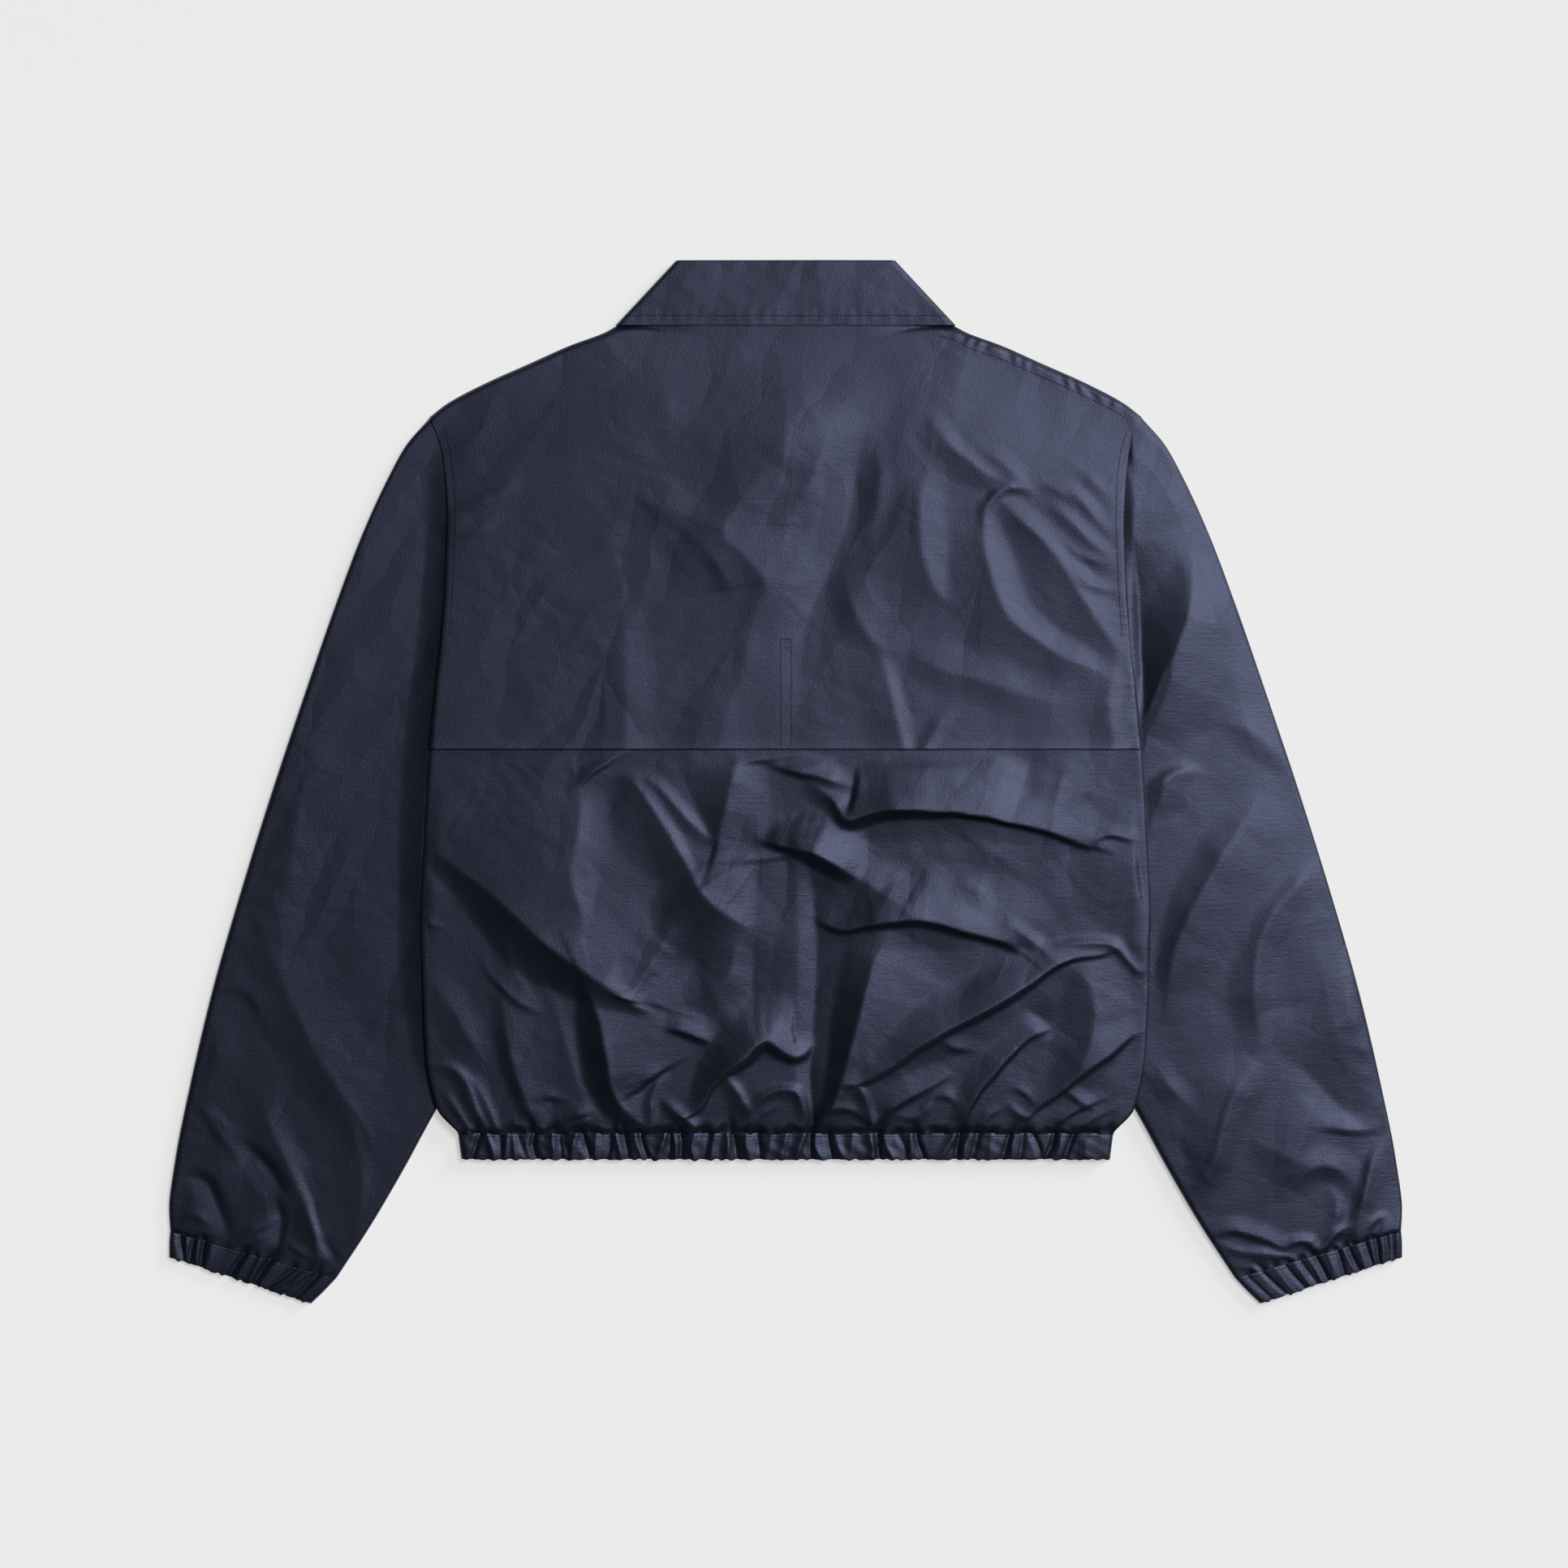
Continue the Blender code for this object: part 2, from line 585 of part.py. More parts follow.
def collar_point(column, target, share, rise, depth):
    """Returns a collar point.

    Args:
        column: one of collar_columns.
        target: 0 to go from the roll line towards the neck seam, 2 towards the free edge.
        share: how far to go.
        rise: distance above the roll line, away from the neck.
        depth: distance in from the collar's outside.
    """
    points, turn, side = column
    place = points[1].lerp(points[target], share)
    place += (points[1] - points[0]).normalized() * rise
    radius = 0.5 * COLLAR_TOP_Z - depth
    x = place.x + radius * math.sin(turn)
    return (side * x, place.y, 0.5 * COLLAR_TOP_Z + radius * math.cos(turn))


def make_collar():
    """Makes the fall, turned over at the roll line, and the stand inside it."""
    columns = collar_columns()
    middle = WALL + 0.5 * SEAM_GAP
    outer = [[collar_point(c, 2, share, 0.0, 0.0) for c in columns] for share in (1.0, 0.66, 0.33, 0.06)]
    inner = [[collar_point(c, 2, share, 0.0, WALL) for c in columns] for share in (1.0, 0.66, 0.33, 0.06)]
    for angle in (0.25 * math.pi, 0.5 * math.pi, 0.75 * math.pi, math.pi):
        turned = 1.0 - math.cos(angle)
        rise = math.sin(angle)
        outer.append([collar_point(c, 2, 0.0, middle * rise, middle * turned) for c in columns])
        depth = middle - 0.5 * SEAM_GAP * math.cos(angle)
        inner.append([collar_point(c, 2, 0.0, 0.5 * SEAM_GAP * rise, depth) for c in columns])
    shell("collar_fall", outer, inner, False)
    shares = (0.012, 0.5, 1.0)
    outer = [[collar_point(c, 0, share, 0.0, LAYER) for c in columns] for share in shares]
    inner = [[collar_point(c, 0, share, 0.0, LAYER + WALL) for c in columns] for share in shares]
    shell("collar_stand", outer, inner, False)


for old in list(bpy.data.objects):
    bpy.data.objects.remove(old, do_unlink=True)
make_back()
make_front("left_front", -1, 0.0)
make_front("right_front", 1, FLY_LIFT)
make_sleeve("left_sleeve", -1, LEFT_SLEEVE_FOLDS)
make_sleeve("right_sleeve", 1, RIGHT_SLEEVE_FOLDS)
make_cuff("left_cuff", -1, CUFF_GATHERS - 2)
make_cuff("right_cuff", 1, CUFF_GATHERS)
make_hem_band()
make_collar()
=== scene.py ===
"""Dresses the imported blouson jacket, lying flat on its front, and lights it in a plain studio.

Each cut-and-sewn piece is a thin cloth shell on its solid's form, with its creases, gathers and
sewing. Sizes are in millimetres and become metres where points enter a mesh. X runs to the
wearer's right, Y from hem to collar, Z up from the surface that the jacket lies on.
"""

import logging
import math
from dataclasses import dataclass
from enum import Enum

import bpy
import numpy as np
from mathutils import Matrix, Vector

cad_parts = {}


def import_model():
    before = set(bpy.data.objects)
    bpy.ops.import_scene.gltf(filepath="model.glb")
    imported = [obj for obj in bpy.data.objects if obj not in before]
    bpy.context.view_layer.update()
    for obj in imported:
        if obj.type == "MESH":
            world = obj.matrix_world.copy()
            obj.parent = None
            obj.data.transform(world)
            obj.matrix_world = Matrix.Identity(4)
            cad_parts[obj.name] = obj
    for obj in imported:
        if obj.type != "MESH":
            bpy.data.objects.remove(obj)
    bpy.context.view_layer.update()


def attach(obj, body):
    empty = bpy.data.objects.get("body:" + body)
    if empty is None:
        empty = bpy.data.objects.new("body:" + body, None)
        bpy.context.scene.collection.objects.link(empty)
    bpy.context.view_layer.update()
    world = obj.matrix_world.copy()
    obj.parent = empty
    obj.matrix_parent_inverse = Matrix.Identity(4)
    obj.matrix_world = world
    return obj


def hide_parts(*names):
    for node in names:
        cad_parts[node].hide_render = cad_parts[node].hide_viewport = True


MM = 0.001
ROOT = "root"

# Group of the points on a piece's hidden inside, and share of triangles left once they are thinned
INSIDE = "inside"
INSIDE_RATIO = 0.58

# Gap that is welded, height up to which a face is an underside, greatest angle that is shaded smooth
WELD = 0.002
UNDERSIDE = 0.5
SMOOTH_ANGLE = 62.0

# Overlap of the fronts past the centre, reach and depth of the hem casing, width and depth of a cuff
FLY = 15.0
HEM_REACH = 245.0
HEM_DEPTH = 20.0
CUFF_WIDTH = 127.0
CUFF_DEPTH = 22.0

# Reach of a tube's round fold, as a share of the tube's height
FOLD_ROUND = 0.6

# Spacing across a panel, round a tube and along the hem band: steps in from each edge, then the rest
PANEL_STEPS = (0.0, 0.002, 0.0045, 0.008, 0.013, 0.019)
PANEL_MIDDLE = 0.974
TUBE_STEPS = (0.0, 0.003, 0.008, 0.016, 0.027, 0.041)
TUBE_UPPER = (0.058, 0.942)
TUBE_LOWER = (0.962, 0.038)
BAND_STEPS = (0.0, 0.0008, 0.0022, 0.0042, 0.007, 0.0105)
BAND_MIDDLE = (0.0145, 0.9855)

Colour = tuple[float, float, float]
Feed = float | tuple[float, ...] | bpy.types.NodeSocket

LOG = logging.getLogger("blouson")


class Hold(Enum):
    """How a piece of cloth is held."""

    LAID = "laid"
    GATHERED = "gathered"


class Side(Enum):
    """The wearer's left or right, as the sign of X."""

    LEFT = -1
    RIGHT = 1


# Tables

# Half-widths of the back and of the fronts: height up the body, back, front
SIDES = (
    (-258.7, 241.5, 240.5),
    (-241.0, 257.0, 256.0),
    (-202.0, 265.2, 264.2),
    (-142.0, 268.0, 267.0),
    (-100.0, 269.0, 268.0),
    (-52.0, 267.0, 266.0),
    (24.5, 262.6, 252.5),
    (75.0, 257.5, 248.5),
    (104.0, 254.0, 248.4),
    (130.0, 252.2, 252.2),
    (164.0, 250.5, 250.5),
    (194.0, 249.5, 249.5),
    (218.0, 250.3, 250.3),
    (240.0, 252.5, 252.5),
    (254.0, 256.0, 256.0),
    (269.5, 263.0, 263.0),
)

# Neck and shoulder edge, outwards from the centre: x, back, front
TOPS = (
    (0.0, 344.5, 268.0),
    (18.0, 344.5, 269.2),
    (38.0, 344.4, 274.5),
    (56.0, 344.3, 284.5),
    (72.0, 344.3, 301.0),
    (84.0, 344.2, 320.5),
    (92.0, 343.6, 337.0),
    (108.0, 341.0, 338.0),
    (124.0, 336.6, 332.8),
    (134.0, 331.6, 330.2),
    (160.0, 322.0, 321.4),
    (190.0, 308.8, 308.2),
    (222.0, 294.5, 293.9),
    (250.0, 279.6, 279.0),
    (263.0, 269.5, 269.5),
)

# Outer and inner fold of a sleeve from the armhole to the cuff seam: outer x, y, inner x, y
SLEEVE_STATIONS = (
    (263.3, 269.5, 254.6, 103.0),
    (280.0, 250.0, 252.6, 64.0),
    (297.0, 218.0, 243.0, 28.0),
    (314.0, 180.0, 233.0, -6.0),
    (333.5, 128.0, 222.0, -46.0),
    (357.0, 60.0, 216.0, -90.0),
    (381.0, -12.0, 217.0, -132.0),
    (404.0, -86.0, 224.0, -172.0),
    (424.0, -156.0, 238.0, -210.0),
    (440.0, -224.0, 258.5, -243.0),
    (450.5, -276.0, 282.0, -286.0),
    (455.5, -314.0, 306.0, -327.0),
    (454.6, -331.6, 331.6, -366.2),
)
CUFF_STATIONS = (
    (454.7, -331.95, 331.9, -366.5),
    (455.4, -341.5, 340.8, -376.0),
    (455.4, -350.8, 350.4, -385.25),
)

# Collar columns along each front: neck seam x, roll line x, y, free edge x, y
LAPELS = (
    (92.0, 77.0, 365.0, 118.5, 327.0),
    (84.0, 72.0, 350.0, 112.0, 318.0),
    (72.0, 64.0, 334.0, 103.0, 305.0),
    (56.0, 51.0, 319.0, 93.0, 291.0),
    (38.0, 36.0, 309.0, 82.0, 275.0),
    (18.0, 19.0, 302.0, 70.0, 258.0),
    (0.5, 3.0, 300.0, 58.0, 241.0),
)


@dataclass(frozen=True)
class Crease:
    """A ridge of the cloth, or a trough where its heights are negative.

    The path runs along the crest. The heights, and the reaches of the flanks on its left and right, are
    given at places spread evenly along it.
    """

    path: tuple[tuple[float, float], ...]
    height: tuple[float, ...]
    left: tuple[float, ...]
    right: tuple[float, ...]


@dataclass(frozen=True)
class Gather:
    """One pinched trough at an elastic seam: its place along it, depth, reach and lean."""

    along: float
    depth: float
    reach: float
    lean: float


@dataclass(frozen=True)
class Pinch:
    """A pinch of an elastic casing, or a ridge where its height is positive.

    Top, middle and bottom are its places along the casing: at the seam, half-way and at the free edge.
    Left and right are the reaches of its flanks, towards smaller and greater places.
    """

    top: float
    middle: float
    bottom: float
    height: float
    left: float
    right: float


# Creases: path, heights, reaches of the left and right flanks
BACK_CREASES = tuple(Crease(*row) for row in (
    # Long diagonal fold on the left, and the hollow below it
    (((-267, -55), (-257, -53), (-240, -65), (-220, -80), (-200, -98), (-180, -117), (-160, -132),
     (-140, -146), (-120, -157), (-106, -162)), (0.8, 2.2, 3.8, 5.8, 7.2, 7.2, 5.0, 0.8),
     (60, 90, 110, 120, 110, 90, 60), (10, 16, 24, 30, 28, 20, 10)),
    (((-150, -146), (-139, -172), (-133, -200), (-127, -230), (-116, -244), (-103, -259)),
     (0.8, 5.0, 6.6, 6.4, 4.0, 1.2), (50, 80, 80, 60, 30, 10), (8, 16, 20, 20, 13, 6)),
    (((-172, -160), (-164, -185), (-156, -212), (-148, -238)), (0.2, 0.8, 0.9, 0.4), (10,),
     (30, 34, 32, 20)),
    (((-210, -158), (-206, -185), (-200, -212), (-191, -238), (-181, -258)), (0.3, 1.4, 1.9, 1.7, 0.9),
     (30, 34, 34, 26, 10), (8, 10, 10, 9, 6)),
    (((-221, -138), (-208, -152), (-195, -163), (-180, -171)), (0.3, 0.9, 1.0, 0.1), (10, 14, 14, 8),
     (3, 3.5, 3.5, 3)),
    (((-206, -115), (-203, -132), (-194, -150)), (0.2, 0.7, 0.3), (8, 9, 8), (14, 14, 10)),
    # Left side edge
    (((-264, -62), (-263, -84), (-262, -103)), (0.4, 1.2, 0.5), (18, 20, 18), (6,)),
    (((-266, -99), (-262, -104), (-256, -107)), (0.3, 0.9, 0.2), (5,), (2.5,)),
    (((-262, -150), (-250, -160), (-238, -180), (-224, -206)), (0.2, 0.9, 1.1, 0.2), (14, 16, 16, 10),
     (16, 20, 20, 12)),
    (((-259, -209), (-246, -211), (-236, -221), (-229, -240), (-220, -258)), (0.4, 1.4, 1.7, 1.4, 0.8),
     (6, 6, 6, 5, 4), (8, 10, 10, 8, 6)),
    (((-240, -212), (-229, -222), (-219, -242), (-213, -258)), (0.2, 0.9, 1.1, 0.8), (6, 6, 5, 4),
     (5, 6, 6, 4)),
    (((-232, -258), (-243, -240), (-254, -228)), (0.8, 1.0, 0.2), (4,), (5,)),
    (((-181, -234), (-173, -231.5), (-162, -235)), (0.2, 1.0, 0.2), (8,), (2.5,)),
    (((-163, -250), (-155, -245), (-140, -243)), (0.3, 1.6, 0.3), (10,), (3,)),
    (((-152, -258), (-148, -250), (-138, -246)), (0.8, 1.0, 0.3), (4,), (3,)),
    (((-122, -258), (-120, -246), (-124, -234)), (1.0, 1.2, 0.3), (5,), (5,)),
    # Facets under the yoke, left of the centre
    (((-153, -3), (-151.7, -13), (-151.4, -23), (-152.2, -33), (-154, -44), (-156.5, -54), (-158.5, -65),
     (-156.5, -76), (-153.5, -87), (-151, -98), (-149, -110)), (0.5, 2.0, 2.7, 2.7, 1.6, 0.2),
     (20, 24, 27, 25, 15, 5), (70, 90, 100, 100, 80, 60)),
    (((-155, -5), (-144, 6), (-134, 13), (-124, 20), (-114, 23)), (0.4, 1.4, 1.8, 1.8, 1.2), (7, 9, 9, 8),
     (2.5, 3, 3, 3)),
    (((-124, 5), (-112, 0), (-101, -14), (-92, -29), (-83, -44), (-75, -58), (-68, -68)),
     (0.3, 1.2, 1.5, 1.5, 1.5, 1.4, 0.5), (7, 8, 9, 9, 9, 8, 6), (26, 34, 38, 38, 36, 30, 20)),
    (((-118, 8), (-103, -12), (-90, -32), (-77, -56), (-66, -78)), (0.2, 1.6, 2.4, 2.2, 0.4),
     (50, 56, 56, 50, 40), (30, 52, 60, 58, 40)),
    (((-114, 6), (-101, 2), (-90, -8), (-79, -20), (-68, -32), (-57, -42)),
     (0.2, 1.0, 1.2, 1.2, 1.2, 0.6), (6, 7, 8, 8, 7, 5), (8, 10, 12, 12, 10, 8)),
    (((-36, 16), (-41, -4), (-45, -22), (-50, -41)), (2.2, 3.4, 3.4, 1.8), (24, 30, 36, 40),
     (44, 38, 24, 8)),
    (((-36, 14), (-22, 16.5), (-8, 17.5), (4, 20), (22, 19)), (0.3, 1.4, 1.6, 1.4, 0.4), (8,), (2.5,)),
    (((-14, 14), (0, 10), (20, 6), (38, 0), (52, -4)), (0.3, 1.8, 2.2, 2.0, 0.4), (12, 16, 16, 12),
     (3, 4, 6, 9)),
    (((8, 11), (24, 13.5), (42, 17)), (0.2, 1.1, 0.3), (8,), (3,)),
    # Centre: bright plateau, its fine crease and the streaks below it
    (((-72, -64), (-62, -82), (-46, -97), (-29, -107)), (0.5, 5.4, 5.8, 1.6), (50, 56, 48, 26),
     (30, 44, 46, 30)),
    (((-62, -60.5), (-40, -58.5), (-18, -57), (2, -54), (15, -52)), (0.1, 0.5, 0.6, 0.6, 0.3), (6,),
     (2.2,)),
    (((-80, -103), (-90, -120), (-101, -138), (-110, -154)), (0.3, 2.2, 2.6, 0.8), (14, 15, 14, 8),
     (26, 28, 26, 14)),
    (((-29, -106), (-36, -122), (-41, -142), (-52, -153), (-74, -164)), (0.5, 1.8, 2.4, 2.4, 0.5),
     (9, 14, 18, 30, 24), (20, 30, 34, 22, 14)),
    (((-26, -112), (-24, -140), (-24, -165), (-21, -190)), (-0.2, -0.8, -1.2, -0.6), (18, 22, 22, 16),
     (16, 22, 26, 24)),
    (((-129, -156), (-120, -158.5), (-108, -162)), (0.4, 2.0, 0.3), (9,), (2,)),
    (((-127, -160), (-114, -164), (-100, -170)), (0.2, 1.2, 0.2), (4,), (5,)),
    # Centre, above the hem
    (((-76, -247), (-64, -240), (-57, -226), (-50, -215.5), (-40, -209), (-28, -201), (-20, -193),
     (-13, -190.5), (-5, -196), (5, -202), (13, -200), (19, -193)),
     (0.9, 2.2, 3.2, 4.4, 5.6, 5.6, 4.6, 3.4, 2.2, 0.6), (8, 11, 15, 24, 34, 38, 32, 20, 10),
     (2.6, 3, 3.6, 5, 7, 7.5, 6.5, 5, 3)),
    (((-47, -214), (-37, -228), (-28, -242)), (0.3, 1.8, 0.8), (5, 6, 5), (7, 10, 8)),
    (((-28, -242), (-15, -231), (-2, -227), (8, -229), (13, -238), (17, -254)),
     (0.5, 1.5, 1.8, 1.8, 1.6, 0.8), (5, 5, 5, 5, 4), (6, 7, 8, 7, 5)),
    (((-33, -258), (-24, -250), (-14, -243), (-4, -237)), (0.6, 1.0, 1.0, 0.2), (4,), (2.6,)),
    (((-88, -181), (-78, -182), (-66, -186.5), (-55, -192)), (0.3, 2.2, 2.6, 0.6), (14, 18, 16),
     (3, 4, 5)),
    (((-119, -232), (-108, -225), (-98, -217.5), (-90, -213)), (0.3, 1.3, 1.3, 0.3), (10,), (2.6,)),
    (((-86, -216), (-94, -222), (-99, -234), (-99, -254)), (0.3, 1.6, 2.0, 1.0), (6, 6, 5, 4),
     (5, 6, 7, 5)),
    (((-90, -235), (-76, -247), (-64, -257)), (0.4, 2.2, 1.2), (8, 8, 6), (5, 8, 6)),
    # Right of the centre: folds drawn to the side seam
    (((14, 2), (28, -8), (38, -18), (46, -28)), (0.3, 1.6, 2.0, 1.3), (20, 22, 18, 10), (12, 12, 10, 7)),
    (((38, -21), (44, -27), (52, -27), (64, -22.5), (84, -19.5), (106, -19.5), (126, -20), (144, -22.5),
     (162, -26.5), (182, -31.5), (202, -38), (214, -43), (224, -47)),
     (1.5, 5.4, 7.0, 6.8, 6.2, 5.4, 4.4, 3.4, 1.2), (16, 34, 46, 52, 52, 50, 46, 36, 24),
     (7, 8, 7, 6, 5, 4, 3.6, 3.6, 4)),
    (((222, -46), (231, -40.5), (240, -39), (249, -41), (257, -43)), (0.2, 1.0, 1.2, 1.0, 0.2), (9,),
     (2.4,)),
    (((-15, -44), (-6, -45), (8, -48), (20, -53), (31, -59), (42, -65.5), (54, -72)),
     (0.8, 3.2, 5.2, 6.2, 5.2, 3.4, 0.4), (10, 18, 30, 38, 40, 34, 20), (4, 4.5, 6, 8, 9, 9, 9)),
    (((-14, -43), (-8, -40), (6, -41), (22, -45)), (0.3, 0.9, 0.8, 0.1), (6,), (2,)),
    (((50, -68), (64, -78), (78, -86), (90, -93)), (0.4, 2.4, 3.0, 1.2), (22, 26, 28, 20),
     (26, 32, 30, 16)),
    (((78, -108), (67, -128), (60, -150), (52, -180), (44, -210), (34, -238), (24, -254)),
     (0.8, 3.6, 5.2, 5.8, 5.6, 4.4, 1.8), (60, 70, 80, 80, 60, 36, 14), (22, 24, 22, 20, 15, 10, 6)),
    (((15, -54), (19, -72), (21, -92), (23, -115), (22, -142), (21, -170), (19, -196), (18, -224),
     (20, -252)), (-0.5, -1.5, -1.8, -2.0, -2.0, -2.0, -2.0, -2.2, -1.4),
     (12, 20, 26, 28, 26, 22, 18, 12, 6), (8, 12, 14, 14, 14, 13, 12, 10, 6)),
    (((24, -102), (33, -106.5), (46, -108), (60, -104), (78, -101.5), (96, -100), (108, -101.5),
     (124, -106), (142, -111.5), (156, -115), (166, -119.5), (172, -124)),
     (0.5, 2.4, 3.6, 4.4, 4.8, 4.6, 4.0, 3.0, 0.8), (8, 12, 18, 28, 40, 48, 48, 44, 36),
     (3, 4, 4.5, 5, 5, 5, 4.5, 4.5, 5)),
    (((45, -223.5), (58, -220), (72, -212), (88, -200), (104, -189), (121, -179.5), (141, -169.5),
     (160, -158.5), (176, -149), (190, -138.5), (204, -131.5), (220, -128), (234, -126), (242, -123.5)),
     (0.6, 2.4, 3.4, 4.2, 5.0, 5.6, 5.6, 4.6, 3.2, 1.8, 0.5), (10, 14, 20, 26, 30, 30, 26, 20, 14, 10),
     (3, 3.5, 4, 4.5, 5, 5.5, 5.5, 4.5, 3.5, 3, 2.5)),
    (((200, -120), (222, -118), (240, -119.5), (250, -129), (259, -139), (267, -140)),
     (0.3, 1.4, 1.6, 1.6, 1.3, 0.4), (6, 6, 6, 5, 5), (5, 5, 4.5, 4, 4)),
    (((166, -106), (182, -117), (196, -129)), (0.3, 1.2, 0.5), (9, 9, 6), (8, 8, 5)),
    (((268, -103), (266, -120), (264, -138)), (0.5, 1.6, 1.0), (4,), (16, 20, 8)),
    (((127, -259), (130, -247), (138, -233), (149, -218), (160, -205.5), (172, -193.5), (184, -185),
     (197, -180)), (1.2, 2.2, 2.8, 2.8, 2.8, 2.4, 1.6, 0.4), (6, 10, 14, 16, 16, 14, 12, 8),
     (3, 3, 3.4, 3.6, 3.6, 3.6, 3, 2.5)),
    (((176, -167), (187, -173), (197, -181)), (-0.3, -1.4, -0.6), (18,), (10,)),
    (((206, -134), (220, -144), (227, -162), (227, -182), (219, -206), (208, -224)),
     (0.3, 1.9, 2.6, 2.6, 1.9, 0.6), (20, 26, 30, 30, 26, 16), (12, 22, 28, 30, 28, 18)),
    (((177, -247), (190, -236), (205, -225), (222, -211.5), (240, -199), (253, -188), (264, -183)),
     (0.8, 1.9, 2.5, 2.5, 2.3, 1.6, 0.5), (10, 17, 22, 22, 20, 12), (2.6, 2.8, 3, 3, 3, 2.6)),
    (((204, -226), (215, -233), (227, -241)), (0.3, 1.2, 0.3), (9,), (3.5,)),
    (((66, -252), (75, -242), (90, -232), (106, -224), (122, -214)), (1.2, 2.0, 2.0, 1.5, 0.3),
     (9, 14, 15, 12), (3, 4, 4.5, 4)),
    (((47, -222), (56, -228), (61, -242), (65, -258)), (0.4, 1.6, 1.8, 1.0), (4,), (8,)),
    (((24, -246), (36, -240), (50, -243), (60, -251)), (0.3, 1.2, 1.2, 0.3), (7,), (2.6,)),
    (((111, -188), (124, -195), (141, -197.5)), (0.3, 1.1, 0.3), (10,), (4,)),
    (((84, -246), (94, -247), (103, -241), (108, -233)), (0.4, 1.2, 1.3, 0.3), (4,), (5,)),
    (((108, -233), (118, -231), (126, -237)), (0.2, 1.1, 0.3), (7,), (2.6,)),
    (((141, -258), (149, -246), (160, -240)), (0.8, 1.2, 0.3), (5,), (3,)),
    (((163, -236), (171, -244), (180, -247)), (0.3, 1.2, 0.6), (4,), (5,)),
    (((166, -225), (176, -229), (183, -236)), (0.2, 1.0, 0.3), (7,), (2.6,)),
    (((196, -258), (206, -246), (222, -238), (236, -232)), (0.8, 1.4, 1.2, 0.3), (9,), (2.8,)),
    (((214, -257), (226, -248), (244, -240)), (0.6, 1.0, 0.2), (7,), (2.8,)),
    # Slopes that fall away below the long folds
    (((44, -27), (84, -20), (126, -20), (162, -27), (202, -38)), (0.8, 2.4, 2.4, 1.8, 0.4),
     (40, 50, 50, 46, 30), (16, 26, 26, 20, 10)),
    (((-2, -46), (20, -53), (42, -65), (60, -77)), (0.4, 2.0, 1.6, 0.3), (26, 34, 30, 24),
     (10, 20, 22, 14)),
    (((36, -107), (60, -104), (96, -100), (124, -106), (156, -115)), (0.6, 2.0, 2.2, 1.6, 0.3),
     (16, 30, 44, 46, 38), (14, 22, 24, 20, 10)),
    (((72, -212), (104, -189), (141, -170), (176, -149), (204, -132)), (0.5, 2.0, 2.4, 1.8, 0.4),
     (18, 28, 30, 26, 18), (10, 20, 24, 18, 10)),
    (((-57, -226), (-40, -209), (-20, -193), (0, -199)), (0.3, 1.6, 1.6, 0.3), (14, 26, 30, 16),
     (8, 14, 14, 8)),
    # Soft facets at the right side
    (((209, 18), (203, 0), (197, -22)), (0.8, 1.8, 1.0), (40, 44, 36), (22, 24, 18)),
    (((183, 20), (176, 0), (168, -24)), (-0.6, -1.0, -0.6), (12, 14, 12), (16, 18, 16)),
    (((138, 24), (156, 14), (172, 4)), (0.4, 0.9, 0.3), (20,), (18,)),
    (((257, -40), (257, -64), (261, -88), (268, -103)), (0.5, 1.6, 1.8, 0.6), (4,), (32, 42, 44, 26)),
    (((160, -31), (153, -52), (136, -68)), (0.4, 1.6, 0.5), (30, 32, 22), (26, 34, 22)),
    (((146, -68), (143, -80), (140, -93)), (0.2, 1.0, 0.2), (12,), (20,)),
))

